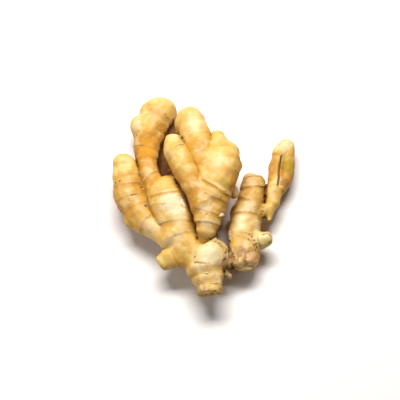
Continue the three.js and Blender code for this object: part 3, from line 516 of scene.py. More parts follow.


# Marks on the skin in millimetres, [x, y, z, reach, colour, strength]: each settles on the nearest skin,
# and lies over those before it. Their colours are linear light. Most are the skin's own stains, pits and
# patches. The whitest marks are painted highlights, and some pale and peach ones are painted light. The
# darkest marks, in the gap beside the tall finger, and one honey mark on its neck are painted shade.
markColours = dict(
    brown=(0.26, 0.125, 0.04), mauve=(0.34, 0.19, 0.12), pit=(0.05, 0.02, 0.008), peach=(0.62, 0.38, 0.19),
    green=(0.36, 0.26, 0.03), ash=(0.46, 0.33, 0.19), pale=(0.74, 0.60, 0.38), paintedGapShade=(0.13, 0.055, 0.018),
    honey=(0.48, 0.22, 0.025), paintedHighlight=(0.84, 0.74, 0.50), olive=(0.30, 0.20, 0.025))
markEdge = dict(outer=1.15, fade=0.5, wander=0.25, wanderLength=3.0, seed=51, searched=1.6, least=0.001)
marks = [
    # rising trunk and shoulder
    [19, 7.9, 44, 3.0, "mauve", 0.45], [16.3, 3.5, 44.3, 4.5, "green", 0.4],
    [28.7, 20.1, 35.6, 1.2, "brown", 0.5], [24, 3, 31, 4.5, "peach", 0.8],
    [21, 6.1, 38, 7.0, "honey", 0.75], [15.4, -5.8, 40, 5.0, "honey", 0.6],
    # the whitest mark on the next line is a painted highlight on the trunk's top
    [24.5, 21, 38, 7.0, "honey", 0.55], [8.4, 19.1, 47.5, 8.0, "paintedHighlight", 0.3],
    [12.3, 47, 33, 2.4, "ash", 0.5], [22, 40, 32, 2.6, "ash", 0.4], [22.5, 40, 31, 0.8, "brown", 0.7],
    # these pale marks are painted light on the trunk's lower front, where it faces away from the lamp
    [4.2, -24.4, 39, 5.0, "pale", 0.45], [4.2, -14.3, 43, 5.0, "pale", 0.55],
    [5.6, -7.5, 44.5, 3.5, "pale", 0.35],
    # right trunk and its knob
    [28.8, -36.6, 20.9, 3.0, "mauve", 0.75], [30.7, -44.1, 21.5, 2.6, "mauve", 0.7],
    [29.5, -37.2, 21.0, 0.8, "pit", 0.8], [31.1, -45.4, 21, 1.0, "pit", 0.8],
    [32.9, -43.4, 20.3, 0.8, "brown", 0.9], [29.6, -24.5, 23, 0.7, "pit", 0.6],
    [31.6, -25.6, 22.8, 0.6, "brown", 0.8], [33.7, -26.7, 22.2, 0.8, "pit", 0.7],
    [35.4, -28.3, 21.8, 0.9, "pit", 0.8], [37.2, -30.8, 21.6, 0.9, "pit", 0.75],
    [38.7, -32.9, 20.6, 1.0, "pit", 0.8], [36.7, -34, 21.2, 1.2, "brown", 0.8],
    [38.9, -34.9, 19.5, 1.0, "pit", 0.8], [38.2, -36.9, 18.9, 0.9, "pit", 0.7],
    [40.6, -38, 16, 1.4, "brown", 0.7], [22.4, -34.8, 19.1, 2.0, "peach", 0.6],
    [23.4, -39, 18.9, 2.0, "peach", 0.6], [24.3, -44.3, 19.5, 1.8, "peach", 0.6],
    [22, -46.4, 17, 1.5, "pit", 0.9], [22.7, -47.9, 15, 2.0, "pit", 0.9],
    [24, -47.7, 16.6, 1.2, "brown", 0.9], [21.7, -48.7, 13.9, 2.0, "pit", 0.9],
    [26.1, -48.9, 16, 2.2, "brown", 0.7], [29.8, -49, 16.5, 1.5, "green", 0.7],
    [32.3, -48.6, 14.8, 1.7, "green", 0.6], [36.2, -47.5, 13.5, 1.6, "green", 0.6],
    [28.1, -48.2, 18.3, 1.4, "pale", 0.7], [34.3, -47.2, 17.3, 1.6, "pale", 0.7],
    [34, -39, 21, 3.2, "peach", 0.4], [36.5, -43.5, 19.5, 5.0, "peach", 0.6],
    [45.5, -26.1, 21.4, 2.6, "pale", 0.6], [47.9, -31.8, 18.8, 2.2, "green", 0.6],
    [43.6, -7.8, 17.1, 1.4, "brown", 0.7], [42.6, -9.9, 16.8, 1.0, "pit", 0.5],
    [44.4, -11.3, 14.3, 1.2, "pit", 0.8], [45.1, 8.1, 15.4, 1.0, "pit", 0.8],
    [44, -4.5, 17, 1.6, "mauve", 0.6], [41.6, -13.5, 18.6, 1.2, "brown", 0.5],
    [38, 17, 20, 6.5, "peach", 0.55], [34, 12, 22, 3.0, "peach", 0.4], [40, 21, 12.5, 3.2, "ash", 0.6],
    # the peach mark at the end of the next line is painted light on the right knob's front side
    [40.5, 21, 11.5, 1.3, "brown", 0.7], [43.4, -33.1, 17, 4.0, "peach", 0.4],
    [35, -5.6, 23, 5.5, "pale", 0.55],
    # base knot
    [16.3, -43.2, 27.8, 2.8, "ash", 0.7], [14.9, -48, 27.1, 2.4, "ash", 0.6],
    [18.5, -44, 22, 4.5, "ash", 0.55], [18.2, -49, 17, 3.5, "brown", 0.6],
    [17, -38.8, 26.3, 1.6, "brown", 0.7], [12.6, -36.6, 29.5, 2.4, "pale", 0.5],
    [19.2, -53.8, 15.7, 3.4, "ash", 0.8], [17.5, -55, 14.9, 1.6, "pit", 0.7],
    # the whitest mark on the next line is a painted highlight on the knot's top
    [16, -51, 17, 1.6, "pit", 0.8], [8.4, -45.7, 31, 7.0, "paintedHighlight", 0.5],
    # broken stub
    [6.7, -64.2, 27.4, 2.4, "green", 0.45], [0, -68, 13.2, 3.4, "green", 0.8],
    [-1.5, -67, 20, 2.2, "green", 0.4], [4.8, -68, 13, 2.6, "mauve", 0.8],
    [8.2, -68, 16, 2.6, "brown", 0.8], [12.9, -67, 17, 2.8, "brown", 0.8],
    [14.5, -66.4, 24.1, 1.8, "brown", 0.6], [13.5, -61.2, 25.6, 1.8, "pale", 0.7],
    [0, -64.8, 24.6, 2.0, "pale", 0.6], [13.3, -57.5, 27, 2.6, "pale", 0.6],
    [10.5, -63, 27.5, 3.4, "peach", 0.5], [3.5, -61, 28, 3.2, "peach", 0.6],
    [-1.5, -61.5, 24, 3.0, "peach", 0.6], [9, -66.5, 24.5, 2.4, "brown", 0.6],
    [3, -66.8, 25, 2.2, "mauve", 0.5],
    # torn faces of the base knot and the right trunk
    [14.5, -52, 27.5, 3.0, "peach", 0.6], [17, -46.5, 25, 3.0, "brown", 0.5],
    [12, -50.5, 30, 2.6, "mauve", 0.35], [27, -33, 22.8, 3.4, "peach", 0.5],
    [35.5, -41.5, 19.5, 3.2, "mauve", 0.5], [38, -41, 16.5, 2.6, "brown", 0.5],
    [26.5, -41, 22, 2.2, "brown", 0.6], [31.5, -34.5, 23, 2.4, "pale", 0.5],
    [33.5, -30.5, 23, 1.2, "pit", 0.6],
    # lower left knob
    [-26, -48.9, 18.5, 3.4, "green", 0.6], [-28.5, -44.2, 20.6, 1.6, "pale", 0.5],
    [-22, -46.5, 15, 3.0, "brown", 0.5], [-30.5, -49.5, 15.5, 2.6, "ash", 0.5],
    [-31, -49.5, 15, 0.9, "brown", 0.6],
    # outer finger
    [-36.7, -15.6, 25.7, 0.9, "pit", 0.7], [-35.4, -14.4, 25.6, 0.6, "pit", 0.6],
    [-37.9, -16.6, 25.2, 0.6, "brown", 0.7], [-56.1, 11.2, 26, 0.8, "pit", 0.7],
    # the whitest mark on the next line is a painted highlight on the outer finger near its root
    [-35, -20.8, 25, 7.0, "paintedHighlight", 0.35], [-54.2, 34, 19.5, 2.8, "ash", 0.5],
    [-54.5, 34, 18.8, 1.0, "brown", 0.7], [-49, -17.2, 15, 3.5, "green", 0.5],
    # middle body
    # painted highlight on the body's top, and painted light on its right flank in the inner finger's shadow
    [-16.8, -9.3, 35.5, 8.0, "paintedHighlight", 0.6], [-8.4, -4.7, 31, 4.5, "pale", 0.6],
    [-19.6, -33.8, 28, 7.0, "pale", 0.4],
    # top finger, and the nick in the inner finger
    # the whitest mark on the next line is a painted highlight on the top finger
    [-13.1, 31.9, 43.3, 1.2, "brown", 0.7], [-7, 44, 41, 6.0, "paintedHighlight", 0.25],
    [-10.8, 64, 30, 3.2, "ash", 0.5], [-10.5, 64, 29.4, 1.0, "brown", 0.7],
    [-2.8, 31.5, 44, 6.5, "honey", 0.55],
    # inner finger
    [-18.2, 44, 34.5, 2.2, "ash", 0.5], [-18, 44, 34, 0.9, "brown", 0.6], [-18.9, 37, 43, 4.5, "pale", 0.4],
    # painted shade in the gap beside the tall finger, first coat
    [-21, 50, 14, 7.5, "paintedGapShade", 0.9], [-24, 41, 15, 7.5, "paintedGapShade", 1],
    # tall finger
    # the honey mark at the start of the next line is painted shade on the tall finger's neck
    [-36.4, 24.6, 26, 5.5, "honey", 0.45], [-36.7, 17, 26, 4.5, "peach", 0.4],
    [-32.2, 67.9, 25.8, 0.6, "pit", 0.7], [-30.4, 70.4, 25.5, 0.5, "brown", 0.7],
    [-28.6, 66.8, 25.7, 0.4, "brown", 0.6], [-26.5, 81, 12.5, 3.6, "ash", 0.5],
    [-26, 81, 11.5, 1.2, "brown", 0.7], [-49, 58.5, 15, 2.2, "ash", 0.4],
    [-36.4, 40, 25, 8.0, "honey", 0.8], [-37.8, 33, 25, 6.5, "honey", 0.8],
    # painted shade in the gap, second coat
    [-22.5, 45.5, 15, 6.5, "paintedGapShade", 1], [-24.5, 36.5, 16, 6.5, "paintedGapShade", 1], [-25.3, 27, 17, 6.5, "paintedGapShade", 1],
    [-20.5, 55, 13.5, 6.0, "paintedGapShade", 1], [-19.5, 61, 12, 5.0, "paintedGapShade", 0.9], [-25, 32, 16, 7.5, "paintedGapShade", 1],
    [-25.5, 22, 16, 7.5, "paintedGapShade", 1],
    # tall finger's head
    [-30.8, 62.8, 25.5, 9.0, "pale", 0.25], [-46.2, 54.8, 23, 5.5, "pale", 0.5],
    # long finger
    [64.5, 32, 14, 5.0, "honey", 0.5], [60.3, 13.4, 15, 3.2, "brown", 0.75],
    [58.8, 9, 14, 2.8, "brown", 0.6], [63, 28, 15.5, 4.0, "green", 0.5],
    [62.8, 27, 14.5, 7.5, "olive", 0.75], [66, 50, 8.5, 2.6, "ash", 0.5],
    [66.5, 50, 8.2, 0.9, "brown", 0.7], [60.2, 41.7, 16, 5.5, "pale", 0.5],
]


def skinTree(points):
    tree = kdtree.KDTree(len(points))
    for number, point in enumerate(points):
        tree.insert(point, number)
    tree.balance()
    return tree


def markAmounts(points):
    form = markEdge
    tree = skinTree(points)
    wander = 1 + form["wander"] * waves(points, form["wanderLength"], form["seed"])
    amount = np.zeros(len(points))
    colour = np.zeros((len(points), 3))
    for x, y, z, reach, name, strength in marks:
        centre = tree.find((x, y, z))[0]
        close = np.flatnonzero((np.abs(points - centre) < form["searched"] * reach).all(axis=1))
        away = np.linalg.norm(points[close] - centre, axis=1) / (reach * wander[close])
        here = strength * np.clip((form["outer"] - away) / form["fade"], 0, 1)
        colour[close] += (markColours[name] - colour[close]) * (here + form["least"])[:, None]
        amount[close] = np.maximum(amount[close], here)
    return colour / np.maximum(amount, form["least"])[:, None], amount


# Root scars and knots: [finger, place in stations, angle round it in degrees, radius in millimetres], with
# 90 degrees on top. Each has a rim and a pit, and the underside keeps more, from the roots trimmed off it.
scarForm = dict(rim=0.22, rimPlace=1.1, rimWidth=0.4, pit=0.45, pitWidth=0.6, reach=4.0,
                underCount=70, underSize=(0.7, 1.9), underAngles=(215, 325), underStart=0.3,
                narrowest=0.1, seed=5)
scars = [
    ["tallFinger", 9.0, 125, 0.7], ["tallFinger", 8.6, 60, 0.8], ["tallFinger", 7.9, 95, 0.6],
    ["tallFinger", 6.6, 150, 1.0], ["outerFinger", 5.3, 140, 0.9], ["outerFinger", 2.5, 60, 1.3],
    ["outerFinger", 3.4, 150, 0.7], ["middleBody", 3.1, 80, 0.6], ["topFinger", 3.5, 110, 0.6],
    ["innerFinger", 3.2, 70, 0.6], ["risingTrunk", 6.4, 60, 0.7], ["rightTrunk", 5.6, 20, 1.1],
    ["rightTrunk", 4.4, 25, 0.9], ["rightTrunk", 3.2, 15, 1.0], ["rightTrunk", 1.6, 60, 1.2],
    ["baseKnot", 1.4, 50, 0.9], ["lowerLeftKnob", 1.2, 110, 0.7], ["longFinger", 3.2, 120, 0.6],
]


def scarCentre(name, place, degrees):
    finger, line = fingers[name], lines[name]
    at = int(np.abs(line["places"] - place).argmin())
    angle = math.radians(degrees)
    outward = (math.cos(angle) * line["side"][at]
               + finger["height"] * math.sin(angle) * line["height"][at])
    past = max(place - line["places"][-1], 0)
    narrowed = math.sqrt(max(1 - past ** 2, scarForm["narrowest"]))
    forward = past * finger["cap"] * line["radius"][at]
    return line["points"][at] + line["along"][at] * forward + outward * line["radius"][at] * narrowed


def underScars():
    draw = random.Random(scarForm["seed"])
    names = ["middleBody", "outerFinger", "tallFinger", "baseKnot", "rightTrunk", "risingTrunk",
             "lowerLeftKnob"]
    found = []
    for _ in range(scarForm["underCount"]):
        name = draw.choice(names)
        place = draw.uniform(scarForm["underStart"], len(fingers[name]["path"]) - 1)
        found.append([name, place, draw.uniform(*scarForm["underAngles"]),
                      draw.uniform(*scarForm["underSize"])])
    return found


def scarField(points):
    form = scarForm
    near = np.full(len(points), form["reach"])
    relief = np.zeros(len(points))
    for name, place, degrees, radius in scars + underScars():
        centre = scarCentre(name, place, degrees)
        close = np.flatnonzero((np.abs(points - centre) < form["reach"] * radius).all(axis=1))
        away = np.linalg.norm(points[close] - centre, axis=1) / radius
        near[close] = np.minimum(near[close], away)
        rim = form["rim"] * np.exp(-((away - form["rimPlace"]) / form["rimWidth"]) ** 2)
        pit = form["pit"] * np.exp(-(away / form["pitWidth"]) ** 2)
        relief[close] += radius ** 0.5 * (rim - pit)
    return near, relief


# Narrow grooves cut along the skin: a line through points in millimetres, its width and depth.
grooveForm = dict(searched=6, beyond=9.0, flat=0.4)
grooves = [
    dict(path=[[58.3, 33.6, 15], [57.6, 27.7, 15], [56.9, 22, 15], [56.3, 17, 15.5], [55.7, 12.5, 16]],
         width=0.85, depth=1.5),
]


def grooveField(points):
    near = np.full(len(points), grooveForm["beyond"])
    relief = np.zeros(len(points))
    for groove in grooves:
        path = np.array(groove["path"])
        low, high = path.min(axis=0) - grooveForm["searched"], path.max(axis=0) + grooveForm["searched"]
        close = np.flatnonzero(((points > low) & (points < high)).all(axis=1))
        away = np.full(len(close), grooveForm["beyond"])
        for start, end in zip(path, path[1:]):
            whole = end - start
            part = np.clip((points[close] - start) @ whole / (whole @ whole), 0, 1)
            away = np.minimum(away, np.linalg.norm(points[close] - start - part[:, None] * whole, axis=1))
        wall = np.maximum(away - groove["width"] * grooveForm["flat"], 0)
        relief[close] -= groove["depth"] * np.exp(-(wall / groove["width"]) ** 2)
        near[close] = np.minimum(near[close], away / groove["width"])
    return near, relief


# How much of the view out from the skin is closed: crease by the skin right beside it, at those distances,
# and hollow by other fingers, looked for in several ways spread round the one straight out. Both are
# painted into the skin's colour as shade, darker in its creases and in the hollows between fingers.
shelterForm = dict(creaseShade=(0.8, 1.6), hollowShade=(4.0, 8.0, 13.0), ways=5, spread=1.0, narrow=0.4,
                   across=(0.3, 0.5, 0.81))


def creaseShadeAmount(points, normals):
    closed = [np.clip(1 - handDistance(points + normals * reach) / reach, 0, 1)
              for reach in shelterForm["creaseShade"]]
    return np.mean(closed, axis=0)


def hollowShadeAmount(points, normals):
    form = shelterForm
    across = np.cross(normals, form["across"])
    across /= np.linalg.norm(across, axis=1, keepdims=True)
    other = np.cross(normals, across)
    turns = np.arange(form["ways"]) * 2 * math.pi / form["ways"]
    ways = [normals] + [normals * math.cos(form["spread"]) + math.sin(form["spread"])
                        * (across * math.cos(turn) + other * math.sin(turn)) for turn in turns]
    total = np.zeros(len(points))
    for way in ways:
        closed = [np.clip(1 - handDistance(points + way * reach) / (form["narrow"] * reach), 0, 1)
                  for reach in form["hollowShade"]]
        total += np.max(closed, axis=0)
    return total / len(ways)


# Draws the outermost skin in, so that none of it passes the part's own box.
def keepInside(points):
    margin, give = bodyForm["boxMargin"], bodyForm["boxGive"]
    low, high = [np.array(corner) / millimetre + handMiddle for corner in cadBox]
    for axis in range(3):
        over = np.maximum(points[:, axis] - (high[axis] - margin - give), 0)
        points[:, axis] -= over - give * np.tanh(over / give)
    for axis in range(2):
        over = np.maximum(low[axis] + margin + give - points[:, axis], 0)
        points[:, axis] += over - give * np.tanh(over / give)
    points[:, 2] = np.maximum(points[:, 2], 0)


def setAttribute(mesh, name, values):
    kind = "FLOAT_VECTOR" if values.ndim == 2 else "FLOAT"
    attribute = mesh.attributes.new(name, kind, "POINT")
    slot = "vector" if values.ndim == 2 else "value"
    attribute.data.foreach_set(slot, values.astype(np.float32).ravel())


def toFrame(points):
    return (points - handMiddle) * millimetre


# The rough skin is drawn onto the hand's smooth form, a little smoothed on the way there, and the relief is
# then added along its normals.
def gingerBody():
    piece = roughBody()
    mesh = piece.data
    points, edges = meshArrays(mesh)
    print("rough body", len(points), "points")
    for turn in range(bodyForm["settling"]):
        normals = vertexNormals(mesh, points)
        if turn < bodyForm["smoothing"]:
            drift = neighbourMean(points, edges) - points
            points += bodyForm["glide"] * (drift - normals * (drift * normals).sum(axis=1, keepdims=True))
        gap = handField(points)["distance"] + bodyForm["inset"]
        points -= normals * np.clip(gap, -bodyForm["stride"], bodyForm["stride"])[:, None]
    normals = vertexNormals(mesh, points)
    field = handField(points)
    print("settled body", "furthest from its form", np.abs(field["distance"] + bodyForm["inset"]).max())
    torn, raggedness = tornAmount(points)
    scar, scarRelief = scarField(points)
    groove, grooveRelief = grooveField(points)
    creaseShade = creaseShadeAmount(points, normals)
    hollowShade = hollowShadeAmount(points, normals)
    print("shelter", "creases", round(float(creaseShade.mean()), 3), "hollows", round(float(hollowShade.mean()), 3))
    lumps = layeredWaves(points, bodyForm["lumps"], bodyForm["lumpSeed"])
    ragged = layeredWaves(points, tornForm["ragged"], tornForm["raggedSeed"])
    stainAndPaintedLight, stainAndPaintedLightAmount = markAmounts(points)
    print("marks", len(marks))
    full = np.minimum(field["radius"] / bodyForm["narrowRadius"], 1)
    rise = (field["relief"] * (1 - torn) + full * (swell(points) + lumps) + scarRelief
            + grooveRelief + raggedness * ragged - torn * tornForm["depth"])
    points += normals * rise[:, None]
    keepInside(points)
    mesh.vertices.foreach_set("co", toFrame(points).ravel())
    mesh.shade_smooth()
    mesh.update()
    far, close = ringForm["nearby"]
    ringNear = np.clip((far - np.abs(field["ring"])) / (far - close), 0, 1)
    for name, values in dict(
            flow=field["flow"], ring=np.clip(field["ring"], -ringForm["kept"], ringForm["kept"]),
            ringDepth=field["ringDepth"] * ringNear, tone=field["tone"], fromTip=field["fromTip"],
            creaseShade=creaseShade, hollowShade=hollowShade, up=normals[:, 2], torn=torn, scar=scar, stainAndPaintedLight=stainAndPaintedLight,
            stainAndPaintedLightAmount=stainAndPaintedLightAmount, groove=groove).items():
        setAttribute(mesh, name, values)
    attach(piece, "root")
    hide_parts("ginger_root")
    return piece


# Dry flaps and torn edges of skin, each from its foot on the skin to its free edge, in millimetres. Their
# thickness runs from thick at the foot to thin at the edge, and cut is how much of its width each column
# keeps. More of them are left on the rings, short and dry: ringCount of them, with their length along the
# ring and past it, and how far they stand off the skin.
flapForm = dict(columnStep=0.45, fewestColumns=4, rows=5, thick=0.4, thin=0.12, ragged=0.308,
                cut=(0.35, 1.15), taper=2.5, curl=0.35, sink=0.5, seed=23,
                ringCount=26, ringWidth=(2.0, 5.5), ringLength=(0.7, 1.5), ringLift=(0.1, 0.28),
                ringSeed=17, ringParts=(-1, -0.4, 0.3, 1), ringFoot=-0.2, ringUneven=(0.7, 1.2),
                ringRound=0.45, ringClear=0.15, lowest=1)
flaps = [
    dict(foot=[[5.8, -35.3, 29.5], [9.5, -34.4, 30], [12.9, -36, 28.5], [16, -38, 27], [17, -41.4, 26.5]],
         edge=[[5.1, -33, 30], [10.5, -30.6, 30], [14.7, -33, 28], [18.9, -35, 26], [19.8, -38.8, 25]]),
    dict(foot=[[21.8, -21.8, 18], [22.5, -26.1, 19], [21.7, -30.8, 19]],
         edge=[[19.3, -22.9, 18.5], [18.8, -26.5, 19], [19.7, -30.3, 18.5]]),
    dict(foot=[[24, -34.7, 21], [24.9, -39.8, 21.2], [25.6, -44, 21], [26, -47.9, 19.5]],
         edge=[[21.3, -35.9, 21.5], [21.6, -40.8, 22], [23.2, -45.7, 21.8], [25, -49.6, 19.5]]),
    dict(foot=[[42.7, -26.4, 21], [44.8, -26.2, 21.5], [46.9, -26.4, 21], [48.6, -27.5, 20]],
         edge=[[43.3, -24, 21.5], [45.3, -25.1, 21.8], [47.4, -24.3, 21.5], [49.4, -24.9, 20.5]]),
    dict(foot=[[30.3, 15.9, 18.5], [33.1, 16.9, 19], [35.9, 17.1, 19.5], [38.7, 17.2, 19.5],
               [41.6, 17.2, 18.5], [43.8, 16.5, 17]],
         edge=[[30.3, 18.5, 18], [33.5, 19.8, 18.2], [36.3, 19, 18.5], [38.5, 20.2, 18.3], [41, 19.1, 17.8],
               [44.1, 20.3, 16.5]]),
    dict(foot=[[-16.5, 28.9, 44], [-14.1, 30.4, 43.8], [-11.7, 31, 42.5]],
         edge=[[-15.1, 31.9, 44.6], [-12.7, 32.8, 44.2], [-10.5, 32.3, 42.8]]),
    dict(foot=[[13.6, -20, 38.2], [14.8, -16.6, 37]], edge=[[16.6, -19.6, 38], [17.4, -16.2, 36.6]]),
    dict(foot=[[-1, -67.9, 14], [2, -68.3, 13], [5.5, -68.3, 13]],
         edge=[[-1.7, -70.5, 12.5], [1.4, -71, 11.5], [4.8, -69.9, 11.5]]),
    dict(foot=[[27.4, -49.4, 17.5], [30.2, -49.6, 17], [32.9, -49.1, 16.5], [36.1, -48.6, 16]],
         edge=[[27.8, -51.4, 16], [30.7, -52, 15], [33.2, -51, 15], [36.6, -51.2, 14.5]]),
]


# One point on the skin at a ring of a finger, moved along by shift, with the way out there.
def ringPoint(name, number, angle, shift):
    finger, line = fingers[name], lines[name]
    lean, tilt = line["leans"][number], line["tilts"][number]
    at = int(np.abs(line["arc"] - line["ringArcs"][number]).argmin())
    lopsided = ringForm["lean"] * math.sin(angle + lean) * math.sin(ringForm["leanChange"] * lean)
    tipped = line["radius"][at] * (lopsided + tilt * math.cos(angle))
    at = int(np.abs(line["arc"] - (line["ringArcs"][number] + tipped + shift)).argmin())
    outward = math.cos(angle) * line["side"][at] + finger["height"] * math.sin(angle) * line["height"][at]
    return line["points"][at] + outward * line["radius"][at], outward


def flapsOnRings():
    form = flapForm
    draw = random.Random(form["ringSeed"])
    choices = [(name, number) for name, finger in fingers.items()
               if "Foot" not in name and "under" not in name for number in range(len(finger["rings"]))]
    found = []
    while len(found) < form["ringCount"]:
        name, number = draw.choice(choices)
        middle = draw.uniform(0, 2 * math.pi)
        half = draw.uniform(*form["ringWidth"]) / 2 / lines[name]["radius"].mean()
        length, lift = draw.uniform(*form["ringLength"]), draw.uniform(*form["ringLift"])
        foot, edge = [], []
        for part in form["ringParts"]:
            foot.append(ringPoint(name, number, middle + part * half, form["ringFoot"])[0])
            reach = length * (1 - form["ringRound"] * abs(part)) * draw.uniform(*form["ringUneven"])
            tip, outward = ringPoint(name, number, middle + part * half, reach)
            edge.append(tip + outward * lift)
        clear = handDistance(np.array(edge)).min() > form["ringClear"] * lift
        if clear and np.array(edge)[:, 2].min() > form["lowest"]:
            found.append(dict(foot=foot, edge=edge))
    return found


def spreadAlong(points, count):
    points = np.array(points, float)
    arc = np.concatenate([[0], np.cumsum(np.linalg.norm(np.diff(points, axis=0), axis=1))])
    at = np.linspace(0, arc[-1], count)
    return np.stack([np.interp(at, arc, points[:, axis]) for axis in range(3)], axis=1)


def smoothLine(points):
    smooth = points.copy()
    smooth[1:-1] = (points[:-2] + 2 * points[1:-1] + points[2:]) / 4
    return smooth


def addFlap(mesh, flap, tree, skin, draw, flow):
    form = flapForm
    span = np.linalg.norm(np.diff(np.array(flap["foot"], float), axis=0), axis=1).sum()
    columns = max(form["fewestColumns"], round(span / form["columnStep"]))
    foot, edge = spreadAlong(flap["foot"], columns), spreadAlong(flap["edge"], columns)
    foot = np.array([skin[tree.find(point)[1]] for point in foot])
    foot = smoothLine(smoothLine(foot))
    reach = edge - foot
    length = np.linalg.norm(reach, axis=1, keepdims=True)
    fromEnd = np.minimum(np.arange(columns), columns - 1 - np.arange(columns))
    ends = np.clip(fromEnd / form["taper"], 0, 1)
    least, most = form["cut"]
    cut = np.clip(1 - form["ragged"] * np.abs(draw.normal(size=columns)), least, most)
    cut *= least + (1 - least) * ends
    face = np.cross(np.gradient(foot, axis=0), reach)
    face /= np.linalg.norm(face, axis=1, keepdims=True) + nearNothing
    if face[:, 2].mean() < 0:
        face = -face
    sheets = []
    for side in (1, -1):
        rows = []
        for row in range(form["rows"]):
            part = row / (form["rows"] - 1)
            thick = form["thick"] * (1 - part) + form["thin"] * part
            place = (foot - reach / length * form["sink"] * (1 - part) + reach * part * cut[:, None]
                     + face * (form["curl"] * math.sin(math.pi * part) + side * thick / 2))
            rows.append([mesh.verts.new(point) for point in place])
            for column, vertex in enumerate(rows[-1]):
                flow[vertex] = (column * form["columnStep"], part * float(length[column, 0]), part)
        sheets.append(rows)
    front, back = sheets
    faces = []
    for rows, turned in ((front, False), (back, True)):
        for low, high in zip(rows, rows[1:]):
            for a, b, c, d in zip(low, low[1:], high[1:], high):
                faces.append((d, c, b, a) if turned else (a, b, c, d))
    for i in range(columns - 1):
        faces.append((front[-1][i], front[-1][i + 1], back[-1][i + 1], back[-1][i]))
        faces.append((front[0][i + 1], front[0][i], back[0][i], back[0][i + 1]))
    for i in range(form["rows"] - 1):
        faces.append((front[i + 1][0], front[i][0], back[i][0], back[i + 1][0]))
        faces.append((front[i][-1], front[i + 1][-1], back[i + 1][-1], back[i][-1]))
    for corners in faces:
        mesh.faces.new(corners)


def gingerFlaps(body):
    skin = meshArrays(body.data)[0] / millimetre + handMiddle
    tree = skinTree(skin)
    draw = np.random.default_rng(flapForm["seed"])
    mesh = bmesh.new()
    flow = {}
    for flap in flaps + flapsOnRings():
        addFlap(mesh, flap, tree, skin, draw, flow)
    bmesh.ops.recalc_face_normals(mesh, faces=mesh.faces)
    mesh.verts.index_update()
    order = np.array([flow[vertex] for vertex in mesh.verts])
    data = bpy.data.meshes.new("gingerFlaps")
    mesh.to_mesh(data)
    mesh.free()
    points = meshArrays(data)[0]
    keepInside(points)
    data.vertices.foreach_set("co", toFrame(points).ravel())
    data.shade_smooth()
    data.update()
    setAttribute(data, "flow", order)
    piece = bpy.data.objects.new("gingerFlaps", data)
    bpy.context.collection.objects.link(piece)
    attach(piece, "root")
    return piece


# Small helpers for the node trees.
def addNode(tree, kind, inputs=None, **settings):
    node = tree.nodes.new(kind)
    for name, value in settings.items():
        setattr(node, name, value)
    for name, value in (inputs or {}).items():
        plug(tree, node.inputs[name], value)
    return node


def plug(tree, socket, value):
    if isinstance(value, bpy.types.NodeSocket):
        tree.links.new(value, socket)
    else:
        socket.default_value = value


def calc(tree, operation, first, second=0.0, clamp=False):
    node = addNode(tree, "ShaderNodeMath", {0: first, 1: second}, operation=operation, use_clamp=clamp)
    return node.outputs[0]


def product(tree, first, *others):
    for other in others:
        first = calc(tree, "MULTIPLY", first, other)
    return first


def remap(tree, value, low, high, newLow=0.0, newHigh=1.0):
    inputs = {"Value": value, "From Min": low, "From Max": high, "To Min": newLow, "To Max": newHigh}
    return addNode(tree, "ShaderNodeMapRange", inputs, interpolation_type="SMOOTHSTEP").outputs[0]


def blendColour(tree, share, first, second, mode="MIX"):
    node = addNode(tree, "ShaderNodeMix", data_type="RGBA", blend_type=mode)
    plug(tree, node.inputs[0], share)
    plug(tree, node.inputs[6], first)
    plug(tree, node.inputs[7], second)
    return node.outputs[2]


def readAttribute(tree, name, vector=False):
    node = addNode(tree, "ShaderNodeAttribute", attribute_name=name)
    return node.outputs["Vector" if vector else "Fac"]


def noiseAt(tree, vector, scale, detail=3.0, roughness=0.55, stretch=(1, 1, 1)):
    if stretch != (1, 1, 1):
        stretched = addNode(tree, "ShaderNodeVectorMath", {0: vector, 1: stretch}, operation="MULTIPLY")
        vector = stretched.outputs[0]
    inputs = {"Vector": vector, "Scale": scale, "Detail": detail, "Roughness": roughness}
    return addNode(tree, "ShaderNodeTexNoise", inputs).outputs["Fac"]


# Lays one of a look's coats over a colour, where its mask shows it.
def coat(tree, look, name, mask, colour, mode="MIX"):
    tint, start, full, share = look["coats"][name]
    return blendColour(tree, remap(tree, mask, start, full, 0, share), colour, look[tint], mode)
